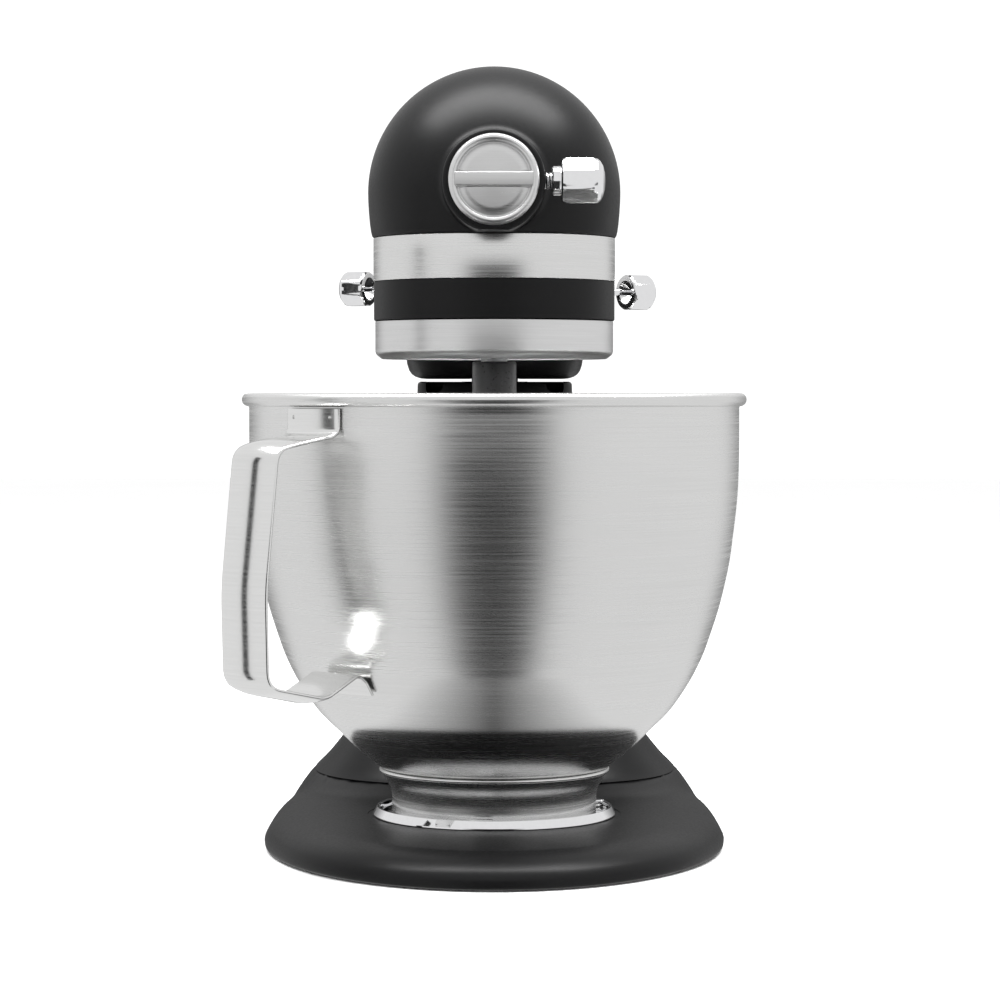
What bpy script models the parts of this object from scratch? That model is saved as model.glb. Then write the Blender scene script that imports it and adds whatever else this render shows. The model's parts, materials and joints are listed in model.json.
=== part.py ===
"""Tilt-head stand mixer: base, bowl, head, motor, gear train, levers and beater.

Sizes are in millimetres and MM turns them into metres. The mixer frame has its origin on the
table below the bowl's axis: +X is to the right seen from the front, +Y runs to the rear and +Z
is up. The frame itself stands at SHIFT_Y, so that the whole object is centred on the origin.
"""

import math

import bmesh
import bpy
from mathutils import Matrix, Vector

MM = 0.001
GAP = 0.3  # left between pieces that touch
SHIFT_Y = -42.0

# Head
HEAD_R = 57.0
HEAD_Z = 295.0  # height of the nose sphere's centre
HEAD_TOP = 352.0
SEAM_Y = 184.0  # between the motor housing and the rear cover
REAR_Y = 222.0
COVER_DROP = 44.5  # from the rear cover's middle down to its lower edge
COVER_SCREW_Z = 306.0
HOUSING_BOTTOM = 274.9
BAND_TOP, BAND_BOTTOM = 274.6, 255.1
CASE_BOTTOM = 238.0
WALL = 3.0
HINGE_Y, HINGE_Z = 160.0, 232.0
STOP_Y = 151.5  # of the screw that the head rests on
HINGE_R = 4.0
LOBE_HALF = 43.0
LOBE_BOTTOM = 212.0
LOBE_R = 20.0
RING_R = 53.8
RING_TOP, RING_BOTTOM = 237.3, 220.0

# Base and pedestal
BASE_HALF, BASE_FRONT, BASE_REAR = 104.0, 138.0, 208.0
BASE_UNDER = 0.6
FOOT_R, POCKET_TOP = 11.0, 2.5
BASE_TOP, BASE_SEAM = 14.2, 20.0
PEDESTAL_TOP = 210.6
NECK_HALF = 11.5
NECK_R = 15.0
CORD_Z = 44.0
FEET = ((-70, -80), (70, -80), (-72, 150), (72, 150), (0, -118.5))
BASE_SCREWS = ((-60, 110), (60, 110), (-55, 165), (55, 165))

# Bowl
BOWL_WALL = 1.2
BOWL_FLOOR = 35.0
HANDLE_AZIMUTH = math.radians(226.0)
CLAMP_Z = 13.8
LATCH_ANGLE = 22.0

# Attachment hub
HUB_Z = 296.0
HUB_BORE = 14.5
HUB_FRONT = -75.0
CAP_R = 19.4
CAP_FRONT = -84.0
SCREW_Y = -68.0

# Gear train
RING_TEETH, PLANET_TEETH, PLANET_MODULE = 24, 8, 3.0
ORBIT = (RING_TEETH - PLANET_TEETH) * PLANET_MODULE / 2
SPUR_TEETH, PINION_TEETH, SPUR_MODULE = 24, 8, 2.25
SPUR_DISTANCE = (SPUR_TEETH + PINION_TEETH) * SPUR_MODULE / 2
WORM_R, WHEEL_TEETH, WHEEL_MODULE = 5.2, 20, 1.4
WHEEL_X = -(WORM_R + WHEEL_TEETH * WHEEL_MODULE / 2)
WHEEL_Y = math.sqrt(SPUR_DISTANCE**2 - WHEEL_X**2)
MOTOR_Z = 280.0
RING_GEAR_Z, SPUR_Z = 232.8, 266.0  # middles of the planetary gears and of the spur gears
CORE_Y = 82.0
BRUSH_Y, BRUSH_Z = 118.0, 286.0
BEVEL_TEETH, HUB_TEETH, BEVEL_R = 20, 10, 20.0

# Levers: pivot point and the angle that the rod makes behind the X axis
LEVER_REACH = 34.0
SPEED_PIVOT, SPEED_ANGLE = (33.8, 56.5, 252.9), math.radians(33.0)
LOCK_PIVOT, LOCK_ANGLE = (-29.8, 85.6, 255.4), math.radians(155.0)

# Each body's frame stands on its joint's axis: name, parent, point in the mixer frame
BODIES = {
    "base": (None, (0, 0, 0)),
    "bowl": ("base", (0, 0, 15)),
    "height_screw": ("base", (0, STOP_Y, 230)),
    "head": ("base", (0, HINGE_Y, HINGE_Z)),
    "planetary": ("head", (0, 0, 224)),
    "beater": ("planetary", (0, ORBIT, 224)),
    "wheel": ("head", (WHEEL_X, WHEEL_Y, MOTOR_Z)),
    "armature": ("head", (0, WHEEL_Y, MOTOR_Z)),
    "hub_drive": ("head", (0, -30, HUB_Z)),
    "hub_cap": ("head", (0, HUB_FRONT, HUB_Z)),
    "hub_screw": ("head", (25, SCREW_Y, HUB_Z)),
    "speed_lever": ("head", SPEED_PIVOT),
    "lock_lever": ("head", LOCK_PIVOT),
}
ALONG_X = Matrix.Rotation(math.pi / 2, 4, "Y")
ALONG_Y = Matrix.Rotation(-math.pi / 2, 4, "X")
UPRIGHT = Matrix.Identity(4)


def clear_scene():
    for obj in list(bpy.data.objects):
        bpy.data.objects.remove(obj)


def new_collection(name):
    made = bpy.data.collections.new(name)
    bpy.context.scene.collection.children.link(made)
    return made


def new_material(name, colour, roughness, metallic):
    made = bpy.data.materials.new(name)
    made.use_nodes = True
    shader = made.node_tree.nodes["Principled BSDF"]
    shader.inputs["Base Color"].default_value = (*colour, 1.0)
    shader.inputs["Roughness"].default_value = roughness
    shader.inputs["Metallic"].default_value = metallic
    made.diffuse_color = (*colour, 1.0)
    return made


clear_scene()
PARTS = new_collection("stand_mixer")
CUTTERS = new_collection("cutters")
BLACK = new_material("black_enamel", (0.02, 0.02, 0.021), 0.42, 0.0)
STEEL = new_material("brushed_steel", (0.62, 0.62, 0.61), 0.28, 1.0)
SATIN = new_material("satin_metal", (0.6, 0.6, 0.6), 0.35, 1.0)
CHROME = new_material("chrome", (0.75, 0.75, 0.76), 0.08, 1.0)
RUBBER = new_material("rubber", (0.03, 0.03, 0.03), 0.8, 0.0)
PLASTIC = new_material("black_plastic", (0.03, 0.03, 0.032), 0.5, 0.0)
MACHINED = new_material("machined_steel", (0.42, 0.42, 0.43), 0.35, 1.0)
BRONZE = new_material("bronze", (0.55, 0.36, 0.15), 0.35, 1.0)
LAMINATED = new_material("laminated_steel", (0.25, 0.25, 0.26), 0.5, 1.0)
COATED = new_material("coated_aluminium", (0.12, 0.12, 0.125), 0.45, 0.6)


def make_frames():
    """An empty on each joint's axis, parented as the bodies hang on each other."""
    frames = {}
    for name, (parent, point) in BODIES.items():
        frame = bpy.data.objects.new(f"frame_{name}", None)
        frame.empty_display_size = 0.02
        PARTS.objects.link(frame)
        if parent:
            frame.parent = frames[parent]
            point = Vector(point) - Vector(BODIES[parent][1])
        else:
            point = Vector((0, SHIFT_Y, 0))
        frame.location = Vector(point) * MM
        frames[name] = frame
    return frames


FRAMES = make_frames()


def put(name, data, body, at, turn, collection):
    obj = bpy.data.objects.new(name, data)
    collection.objects.link(obj)
    obj.parent = FRAMES[body]
    place = Matrix.Translation((Vector(at) - Vector(BODIES[body][1])) * MM)
    obj.matrix_local = place @ turn
    return obj


def add_part(name, data, body, material, at=(0, 0, 0), turn=UPRIGHT):
    data.materials.append(material)
    if isinstance(data, bpy.types.Mesh):
        data.shade_smooth()
        data.set_sharp_from_angle(angle=math.radians(35))
    return put(name, data, body, at, turn, PARTS)


def add_helper(name, data, body, at=(0, 0, 0), turn=UPRIGHT):
    obj = put(name, data, body, at, turn, CUTTERS)
    obj.hide_render = True
    obj.display_type = "WIRE"
    return obj


def boolean(obj, helper, operation):
    modifier = obj.modifiers.new(helper.name, "BOOLEAN")
    modifier.object = helper
    modifier.operation = operation
    modifier.solver = "EXACT"


def cut(obj, data, body, at=(0, 0, 0), turn=UPRIGHT):
    count = len(CUTTERS.objects)
    boolean(obj, add_helper(f"cut_{count}_{obj.name}", data, body, at, turn), "DIFFERENCE")


def join(obj, data, body, at=(0, 0, 0), turn=UPRIGHT):
    count = len(CUTTERS.objects)
    boolean(obj, add_helper(f"join_{count}_{obj.name}", data, body, at, turn), "UNION")


def finish_mesh(name, bm):
    mesh = bpy.data.meshes.new(name)
    bm.to_mesh(mesh)
    bm.free()
    return mesh


def box(size, centre=(0, 0, 0)):
    bm = bmesh.new()
    place = Matrix.Translation(Vector(centre) * MM) @ Matrix.Diagonal((*[s * MM for s in size], 1))
    bmesh.ops.create_cube(bm, size=1.0, matrix=place)
    return finish_mesh("box", bm)


def cylinder(radius, start, end, segments=20, radius_end=None):
    """A cylinder or cone along +Z from start to end."""
    bm = bmesh.new()
    bmesh.ops.create_cone(
        bm,
        cap_ends=True,
        segments=segments,
        radius1=radius * MM,
        radius2=(radius if radius_end is None else radius_end) * MM,
        depth=(end - start) * MM,
        matrix=Matrix.Translation((0, 0, (start + end) / 2 * MM)),
    )
    return finish_mesh("cylinder", bm)


def loft(name, rings, caps=True, ring_closed=True):
    """A surface through rings of equally many points; points that fall together are merged."""
    size = len(rings[0])
    bm = bmesh.new()
    grid = [[bm.verts.new(Vector(p) * MM) for p in ring] for ring in rings]
    for one, two in zip(grid, grid[1:]):
        for i in range(size if ring_closed else size - 1):
            j = (i + 1) % size
            bm.faces.new((one[i], one[j], two[j], two[i]))
    if caps:
        bm.faces.new(grid[0])
        bm.faces.new(grid[-1])
    bmesh.ops.remove_doubles(bm, verts=bm.verts, dist=1e-6)
    bmesh.ops.recalc_face_normals(bm, faces=bm.faces)
    return finish_mesh(name, bm)


def turned(name, profile):
    """A mesh with the profile's edges in the XZ plane, for a Screw modifier: (radius, height)."""
    mesh = bpy.data.meshes.new(name)
    points = [(r * MM, 0, z * MM) for r, z in profile]
    count = len(points)
    ring = profile[0][0] > 0 or profile[-1][0] > 0
    edges = [(i, (i + 1) % count) for i in range(count if ring else count - 1)]
    mesh.from_pydata(points, edges, [])
    return mesh


def add_turned(name, profile, body, material, steps=32, at=(0, 0, 0), turn=UPRIGHT):
    mesh = turned(name, profile)
    mesh.materials.append(material)
    obj = put(name, mesh, body, at, turn, PARTS)
    screw = obj.modifiers.new("turn", "SCREW")
    screw.angle = math.tau
    screw.steps = screw.render_steps = steps
    screw.use_merge_vertices = True
    screw.merge_threshold = 0.00001
    return obj


def add_prism(name, outlines, depth, body, material, at=(0, 0, 0), turn=UPRIGHT):
    """A flat outline, with any holes as further outlines, made depth thick about its plane."""
    curve = flat_curve(name, outlines, depth)
    curve.materials.append(material)
    return put(name, curve, body, at, turn, PARTS)


def flat_curve(name, outlines, depth):
    curve = bpy.data.curves.new(name, "CURVE")
    curve.dimensions = "2D"
    curve.fill_mode = "BOTH"
    curve.extrude = depth / 2 * MM
    for outline in outlines:
        spline = curve.splines.new("POLY")
        spline.points.add(len(outline) - 1)
        for point, (x, y) in zip(spline.points, outline):
            point.co = (x * MM, y * MM, 0, 1)
        spline.use_cyclic_u = True
    return curve


def prism_mesh(outline, start, end):
    """A closed prism on one outline, from start to end along +Z."""
    return loft("prism", [[(x, y, z) for x, y in outline] for z in (start, end)])


def side_prism(outline, half, centre=0.0):
    """A closed prism whose outline is (y, z) points, reaching half each way along X."""
    return loft("side", [[(centre + s * half, y, z) for y, z in outline] for s in (-1, 1)])


def circle(radius, count, centre=(0.0, 0.0), phase=0.0):
    steps = [phase + math.tau * i / count for i in range(count)]
    return [(centre[0] + radius * math.cos(a), centre[1] + radius * math.sin(a)) for a in steps]


def arc(centre, radius, start, end, count):
    """Points on an arc, with angles in degrees and both ends included."""
    angles = [math.radians(start + (end - start) * i / (count - 1)) for i in range(count)]
    return [(centre[0] + radius * math.cos(a), centre[1] + radius * math.sin(a)) for a in angles]


def between(value, stations):
    """Straight interpolation in a list of (position, value) pairs."""
    for (a, low), (b, high) in zip(stations, stations[1:]):
        if value <= b:
            share = max(0.0, (value - a) / (b - a))
            return low + (high - low) * share
    return stations[-1][1]


# ---------------------------------------------------------------- base and pedestal


def base_outline(inset, count=36):
    """The base seen from above: half an ellipse in front, a fuller curve behind."""
    points = []
    for i in range(count):
        a = math.tau * i / count
        c, s = math.cos(a), math.sin(a)
        power = 1.0 if s <= 0 else 2 / 3.0
        depth = BASE_FRONT if s <= 0 else BASE_REAR
        x = (BASE_HALF - inset) * math.copysign(abs(c) ** power, c)
        points.append((x, (depth - inset) * math.copysign(abs(s) ** power, s)))
    return points


def foot_outline(half, front, rear, power, count=26):
    """A rounded rectangle between front and rear, for one level of the pedestal."""
    middle, deep = (front + rear) / 2, (rear - front) / 2
    points = []
    for i in range(count):
        a = math.tau * i / count
        c, s = math.cos(a), math.sin(a)
        points.append(
            (
                half * math.copysign(abs(c) ** (2 / power), c),
                middle + deep * math.copysign(abs(s) ** (2 / power), s),
            )
        )
    return points


# The pedestal's half width, front, rear and squareness at each height
PEDESTAL_LEVELS = (
    (BASE_SEAM, 89.0, 52.0, 206.5, 2.4),
    (27.0, 82.0, 58.0, 205.0, 2.4),
    (36.0, 74.6, 66.0, 203.0, 2.5),
    (48.0, 65.5, 77.0, 200.5, 2.6),
    (62.0, 57.5, 88.0, 198.5, 2.8),
    (95.0, 47.0, 103.5, 193.0, 3.2),
    (145.0, 40.6, 113.0, 185.8, 3.6),
    (PEDESTAL_TOP, 38.4, 117.5, 171.0, 4.4),
)


def level_ring(z, half, front, rear, power, inset=0.0):
    outline = foot_outline(half - inset, front + inset, rear - inset, power)
    return [(x, y, z) for x, y in outline]


def make_base_plate():
    levels = ((BASE_UNDER, 1.8), (1.8, 0.2), (5.6, 0.3), (8.6, 2.4), (11.2, 6.4), (12.9, 11.5))
    levels += ((13.9, 18.0), (BASE_TOP, 26.0))
    rings = [[(x, y, z) for x, y in base_outline(inset)] for z, inset in levels]
    plate = add_part("base_plate", loft("base_plate", rings), "base", BLACK)
    flare = [
        level_ring(7.0, 98.5, 8.0, 207.5, 2.4),
        level_ring(11.0, 96.5, 26.0, 207.5, 2.4),
        level_ring(15.5, 93.0, 40.0, 207.0, 2.4),
        level_ring(BASE_SEAM - GAP, 89.0, 52.0, 206.5, 2.4),
    ]
    join(plate, loft("flare", flare), "base")
    cut(plate, cylinder(57.5, 13.5, 30.0, 28), "base")
    hollow = [[(x, y, z) for x, y in base_outline(inset)] for z, inset in ((0.0, 30.0), (9.5, 31.0))]
    cut(plate, loft("hollow", hollow), "base")
    for x, y in BASE_SCREWS:
        cut(plate, cylinder(6.2, 0.0, 9.4, 16), "base", (x, y, 0))
        cut(plate, cylinder(2.9, 5.0, 25.0, 12), "base", (x, y, 0))
    for x, y in FEET:
        cut(plate, cylinder(FOOT_R + 0.5, 0.0, POCKET_TOP, 12), "base", (x, y, 0))


def make_pedestal():
    rings = [level_ring(*level) for level in PEDESTAL_LEVELS]
    pedestal = add_part("pedestal", loft("pedestal", rings), "base", BLACK)
    hollow = [level_ring(z + 1.5, h, f, r, p, 4.5) for z, h, f, r, p in PEDESTAL_LEVELS[1:-1]]
    hollow.append(level_ring(192.0, 34.0, 121.0, 170.0, 3.8))
    cut(pedestal, loft("hollow", hollow), "base")
    opening = [level_ring(z, *PEDESTAL_LEVELS[0][1:], 40.0) for z in (10.0, 32.0)]
    cut(pedestal, loft("opening", opening), "base")
    neck = [(126.0, 196.0), (131.0, 210.0), (144.0, 226.0)]
    neck += arc((HINGE_Y, HINGE_Z), NECK_R, 180, 0, 13)
    neck += [(173.5, 214.0), (168.0, 196.0)]
    join(pedestal, side_prism(neck, NECK_HALF), "base")
    for side in (-1, 1):
        cut(pedestal, box((20.0, 26.0, 20.0), (side * 25.5, 134.5, 214.6)), "base")
    for x, y in BASE_SCREWS:
        join(pedestal, cylinder(6.5, 22.0, 42.0, 16), "base", (x, y, 0))
        cut(pedestal, cylinder(2.9, 10.0, 36.0, 12), "base", (x, y, 0))
    cut(pedestal, cylinder(HINGE_R + GAP, -30.0, 30.0), "base", (0, HINGE_Y, HINGE_Z), ALONG_X)
    cut(pedestal, cylinder(3.3, 224.0, 260.0, 16), "base", (0, STOP_Y, 0))
    cut(pedestal, cylinder(5.3, 170.0, 230.0, 16), "base", (0, 0, CORD_Z), ALONG_Y)


def make_base_fittings():
    for number, (x, y) in enumerate(FEET, 1):
        top = POCKET_TOP - GAP
        profile = [(0, top), (FOOT_R, top), (FOOT_R, 0.8), (FOOT_R - 0.8, 0.0), (0, 0.0)]
        add_turned(f"rubber_foot_{number}", profile, "base", RUBBER, 16, (x, y, 0))
    for number, (x, y) in enumerate(BASE_SCREWS, 1):
        profile = [(0, 34.0), (2.5, 34.0), (2.5, 9.1), (5.5, 9.1), (5.0, 6.2), (0, 6.2)]
        add_turned(f"pedestal_screw_{number}", profile, "base", MACHINED, 8, (x, y, 0))
    gland = [(0, 12.5), (4.0, 12.5), (7.5, 9.0), (8.0, 6.2), (5.0, 6.2), (5.0, -3.0), (0, -3.0)]
    add_turned("cord_gland", gland, "base", RUBBER, 16, (0, 197.8, CORD_Z), ALONG_Y)
    pin = [(0, 40.5), (3.4, 40.5), (HINGE_R, 39.7), (HINGE_R, -39.7), (3.4, -40.5), (0, -40.5)]
    add_turned("hinge_pin", pin, "base", MACHINED, 24, (0, HINGE_Y, HINGE_Z), ALONG_X)
    screw = [(0, 241.2), (2.6, 241.2), (3.0, 240.8), (3.0, 226.0), (0, 226.0)]
    add_turned("height_screw", screw, "height_screw", MACHINED, 16, (0, STOP_Y, 0))


def make_clamp_plate():
    """Pressed plate that holds the bowl: a floor, a raised ring and three latch tabs."""
    profile = [
        (0, CLAMP_Z + 1.0),
        (51.2, CLAMP_Z + 1.0),
        (52.2, CLAMP_Z + 3.4),
        (53.6, CLAMP_Z + 3.9),
        (54.8, CLAMP_Z + 3.3),
        (55.2, CLAMP_Z),
        (0, CLAMP_Z),
    ]
    plate = add_turned("bowl_clamp_plate", profile, "base", CHROME, 36)
    for k in range(3):
        turn = Matrix.Rotation(math.radians(LATCH_ANGLE + 120 * k), 4, "Z")
        join(plate, box((5.6, 13.0, 1.2), (49.8, 0, 17.1)), "base", turn=turn)


# ---------------------------------------------------------------- bowl

# Outside of the wall, from the rim's underside to the floor: (radius, height)
BOWL_PROFILE = (
    (110.7, 198.6),
    (110.7, 172.0),
    (109.3, 151.4),
    (106.6, 129.8),
    (101.7, 108.0),
    (94.4, 86.3),
    (89.0, 75.4),
    (82.0, 64.6),
    (72.0, 53.7),
    (62.5, 44.5),
    (52.2, 36.2),
    (48.0, 33.6),
)


def make_bowl_shell():
    rim = [(109.9, 204.0), (111.2, 205.0), (113.3, 204.1), (114.0, 202.0), (113.3, 199.9), (111.0, 199.0)]
    inner = [(r - BOWL_WALL, z + 0.5 * (z < 100)) for r, z in BOWL_PROFILE[0:-1:2]]
    floor_in, floor_out = BOWL_FLOOR, BOWL_PROFILE[-1][1]
    profile = [(0, floor_in), (46.0, floor_in), *inner[::-1], *rim, *BOWL_PROFILE, (0, floor_out)]
    add_turned("bowl_shell", profile, "bowl", STEEL, 36)


def make_bowl_foot():
    profile = [
        (51.6, 33.3),
        (47.6, 27.4),
        (46.3, 24.0),
        (46.3, 15.1),
        (44.9, 15.1),
        (44.9, 24.5),
        (47.4, 33.3),
    ]
    foot = add_turned("bowl_foot", profile, "bowl", STEEL, 32)
    for k in range(3):
        turn = Matrix.Rotation(math.radians(LATCH_ANGLE + 120 * k), 4, "Z")
        join(foot, box((4.6, 11.0, 1.0), (47.9, 0, 15.65)), "bowl", turn=turn)


def handle_path():
    """The strap's centre line in its own plane: (distance from the bowl's axis, height)."""
    path = [(111.9, 198.2), (111.9, 190.6)]
    path += arc((116.4, 190.6), 4.5, 180, 252, 4)[1:]
    path += [(124.0, 184.2)]
    path += arc((129.5, 170.5), 13.2, 80, 12, 5)
    path += [(145.3, 150.5), (147.0, 130.0), (148.0, 109.0), (147.6, 92.0)]
    path += arc((138.5, 88.5), 9.2, -5, -75, 4)
    path += [(122.0, 75.6)]
    path += arc((116.5, 87.5), 12.0, -72, -112, 3)
    path += [(100.0, 83.4), (97.3, 83.6), (93.8, 80.0), (90.6, 75.0)]
    return path


def strap_ring(path, index, half, crown, thickness):
    """One cross-section of the strap: outside face, then inside face."""
    before, after = path[max(0, index - 1)], path[min(len(path) - 1, index + 1)]
    along = Vector((after[0] - before[0], after[1] - before[1])).normalized()
    out = Vector((-along[1], along[0]))
    here = Vector(path[index])
    ring = []
    for face in (0.5, -0.5):
        shares = (-1, -0.7, -0.25, 0.25, 0.7, 1)
        for share in shares if face > 0 else shares[::-1]:
            bulge = crown * (1 - share * share)
            rho, z = here + out * (bulge + face * thickness)
            ring.append((rho, share * half, z))
    return ring


def make_bowl_handle():
    path = handle_path()
    rings = []
    last = len(path) - 1
    for i in range(len(path)):
        flat = i < 4 or i > last - 4
        half = 16.2 if i < 3 else 14.2
        crown = 0.0 if flat else 2.2
        rings.append(strap_ring(path, i, half, crown, -1.5))
    for i in (0, 1, last - 1, last):
        rings[i] = [(curved(rho, side), side, z) for rho, side, z in rings[i]]
    turn = Matrix.Rotation(HANDLE_AZIMUTH, 4, "Z")
    add_part("bowl_handle", loft("bowl_handle", rings), "bowl", STEEL, turn=turn)


def curved(rho, side):
    """Bends a flange round the bowl, so that its inner face follows the wall."""
    return math.sqrt(rho * rho - side * side)


# ---------------------------------------------------------------- head


def head_half(y):
    return HEAD_R if y <= 40 else HEAD_R - 9.0 * ((y - 40) / 110) ** 1.6


def head_top(y):
    return HEAD_TOP if y <= 20 else HEAD_TOP - 28.0 * ((y - 20) / 160) ** 2.2


def head_middle(y):
    return HEAD_Z if y <= 40 else HEAD_Z - 16.0 * (y - 40) / 182


def head_stations(rear):
    """Places along the head: (angle of a point on the nose, None) or (None, y)."""
    nose = [(math.radians(a), None) for a in (0, 20, 40, 60, 76)]
    return nose + [(None, y) for y in (0, 40, 85, 130, rear)]


def plan_point(station, inset):
    """Half width and y of the head's plan outline, moved inwards by inset."""
    angle, y = station
    if angle is None:
        return head_half(y) - inset, y
    radius = HEAD_R - inset
    return radius * math.sin(angle), -radius * math.cos(angle)


def make_motor_housing():
    rings = []
    for station in head_stations(SEAM_Y - GAP / 2):
        half, y = plan_point(station, 0.0)
        middle = HEAD_Z if station[1] is None else head_middle(y)
        rise = half if station[1] is None else head_top(y) - middle
        dome = [math.pi * k / 14 for k in range(15)]
        ring = [(half * math.cos(a), y, middle + rise * math.sin(a)) for a in dome]
        for inset, z in ((0.5, 285.0 - (HEAD_Z - middle) * 0.6), (2.2, HOUSING_BOTTOM)):
            half, low_y = plan_point(station, inset)
            ring = [(half, low_y, z), *ring, (-half, low_y, z)]
        rings.append(ring)
    surface = loft("motor_housing", rings, caps=False, ring_closed=False)
    housing = add_part("motor_housing", surface, "head", BLACK)
    thicken(housing, WALL)
    boss = [(HUB_FRONT, 21.0), (HUB_FRONT + 1.0, 22.0), (-62.0, 22.2), (-56.0, 24.0), (-51.0, 27.0)]
    rings = [[(x, y, HUB_Z + z) for x, z in circle(radius, 28)] for y, radius in boss]
    join(housing, loft("boss", rings), "head")
    join(housing, cylinder(18.0, -55.0, -30.0, 32), "head", (0, 0, HUB_Z), ALONG_Y)
    below = box((120.0, 80.0, 40.0), (0, -60.0, HOUSING_BOTTOM - 20.0))
    cut(housing, below, "head")
    cut(housing, cylinder(HUB_BORE, -90.0, -38.0, 32), "head", (0, 0, HUB_Z), ALONG_Y)
    cut(housing, cylinder(8.4, -45.0, -20.0, 24), "head", (0, 0, HUB_Z), ALONG_Y)
    cut(housing, cylinder(4.3, 8.0, 40.0, 16), "head", (0, SCREW_Y, HUB_Z), ALONG_X)
    cut(housing, cylinder(7.4, -80.0, 80.0, 20), "head", (0, BRUSH_Y, BRUSH_Z), ALONG_X)


def thicken(obj, wall):
    modifier = obj.modifiers.new("wall", "SOLIDIFY")
    modifier.thickness = wall * MM
    modifier.offset = -1.0
    modifier.use_even_offset = True


def case_stations():
    """The head's stations with more of them where the underside bends."""
    extra = [(None, y) for y in (55, 66, 105, 118, 160, 172, 178, 181)]
    every = head_stations(SEAM_Y - GAP / 2) + extra
    return sorted(every, key=lambda s: s[0] - 100 if s[1] is None else s[1])


def case_bottom(y):
    """Height of the lower case's underside along its centre."""
    stations = ((55, 237.6), (62, 234.6), (80, 226.0), (105, 214.2))
    stations += ((118, LOBE_BOTTOM), (HINGE_Y, LOBE_BOTTOM))
    if y <= HINGE_Y:
        return between(y, stations)
    behind = y - HINGE_Y
    if behind < 18:
        return HINGE_Z - math.sqrt(LOBE_R**2 - behind**2)
    return between(y, ((178, 223.3), (180.5, 230.0), (SEAM_Y, 237.6)))


def case_ring(station):
    """One section of the lower case: from the shoulder behind the band to the centre of the floor."""
    depth = 0.4 if station[1] is None else CASE_BOTTOM - case_bottom(station[1])
    share = depth / (CASE_BOTTOM - LOBE_BOTTOM)
    half = []
    for inset, z in ((3.8, BAND_TOP), (3.8, BAND_BOTTOM - GAP), (2.6, BAND_BOTTOM - GAP)):
        half.append((*plan_point(station, inset), z))
    wide = plan_point(station, 2.6)[0]
    narrow = wide - max(0.0, wide - LOBE_HALF) * min(1.0, share)
    corner = ((0.25, 0.0, 0.0), (1.0, 0.45, 0.2), (1.0, 0.72, 1.4), (1.0, 0.92, 5.0), (1.0, 1.0, 11.0))
    for mix, drop, tuck in corner:
        x = wide + (narrow - wide) * mix - tuck * share
        scale = x / wide if wide else 1.0
        y = plan_point(station, 2.6)[1]
        half.append((wide * scale, y, CASE_BOTTOM - depth * drop))
    return half + [(-x, y, z) for x, y, z in half[::-1]]


def make_lower_gearcase():
    rings = [case_ring(station) for station in case_stations()]
    case = add_part("lower_gearcase", loft("lower_gearcase", rings, False, False), "head", BLACK)
    thicken(case, WALL)
    block = [(104.0, 216.5), (118.0, 213.5), (160.0, 213.5), (172.0, 217.5), (178.0, 228.0), (182.0, 240.0)]
    block += [(182.0, 252.0), (104.0, 252.0)]
    join(case, side_prism(block, 16.0), "head")
    for side in (-1, 1):
        lobe = cylinder(LOBE_R - 1.0, 14.0, LOBE_HALF - 1.4, 24)
        join(case, lobe, "head", (0, HINGE_Y, HINGE_Z), ALONG_X if side > 0 else ALONG_X.inverted())
    slot = [(110.0, 196.0), (118.0, 209.0), (124.0, 215.0), (141.0, 236.0)]
    slot += arc((HINGE_Y, HINGE_Z), NECK_R + 1.3, 165, 30, 11)
    slot += [(181.0, 240.8), (190.0, 240.0), (200.0, 230.0), (200.0, 196.0)]
    cut(case, side_prism(slot, NECK_HALF + 0.8), "head")
    cut(case, cylinder(HINGE_R + GAP, -60.0, 60.0), "head", (0, HINGE_Y, HINGE_Z), ALONG_X)
    cut(case, cylinder(9.2, 230.0, 250.0, 24), "head")
    cut(case, box((30.0, 40.0, 4.6), (62.0, 64.0, SPEED_PIVOT[2])), "head")
    cut_lever_slots(case)


def cut_lever_slots(obj):
    """The case and the trim band share the slot of the lock lever."""
    cut(obj, box((30.0, 32.0, 4.6), (-58.0, 96.0, LOCK_PIVOT[2])), "head")


def make_trim_band():
    """Thin strip round the nose and along both sides, to the rear cover's seam."""
    stations = case_stations()
    outer = [plan_point(s, 2.4) for s in stations]
    inner = [plan_point(s, 3.5) for s in stations]
    outer = [(-x, y) for x, y in outer[:0:-1]] + outer
    inner = [(-x, y) for x, y in inner[:0:-1]] + inner
    strip = [(*o, *i) for o, i in zip(outer, inner)]
    rings = []
    for ox, oy, ix, iy in strip:
        ring = [(ox, oy, BAND_BOTTOM), (ox, oy, BAND_TOP), (ix, iy, BAND_TOP), (ix, iy, BAND_BOTTOM)]
        rings.append(ring)
    band = add_part("trim_band", loft("trim_band", rings), "head", STEEL)
    cut_lever_slots(band)


def make_rear_cover():
    rings = []
    start = SEAM_Y + 0.8
    for degrees in (0, 22, 44, 62, 78, 90):
        a = math.radians(degrees)
        size = math.cos(a)
        y = start + (REAR_Y - start) * math.sin(a)
        middle = head_middle(y)
        ring = []
        for k in range(24):
            turn = math.tau * k / 24
            rise = head_top(start) - head_middle(start) if math.sin(turn) > 0 else COVER_DROP
            x = head_half(start) * size * math.cos(turn)
            ring.append((x, y, middle + rise * size * math.sin(turn)))
        rings.append(ring)
    cover = add_part("rear_cover", loft("rear_cover", rings, caps=False), "head", BLACK)
    thicken(cover, 2.5)
    for k in range(-1, 3):
        cut(cover, box((36.0, 30.0, 2.8), (0, REAR_Y, 279.0 + 8.0 * k)), "head")
    cut(cover, cylinder(2.3, 190.0, 240.0, 12), "head", (0, 0, COVER_SCREW_Z), ALONG_Y)
    cut(cover, cylinder(4.4, 209.8, 240.0, 12), "head", (0, 0, COVER_SCREW_Z), ALONG_Y)


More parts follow.
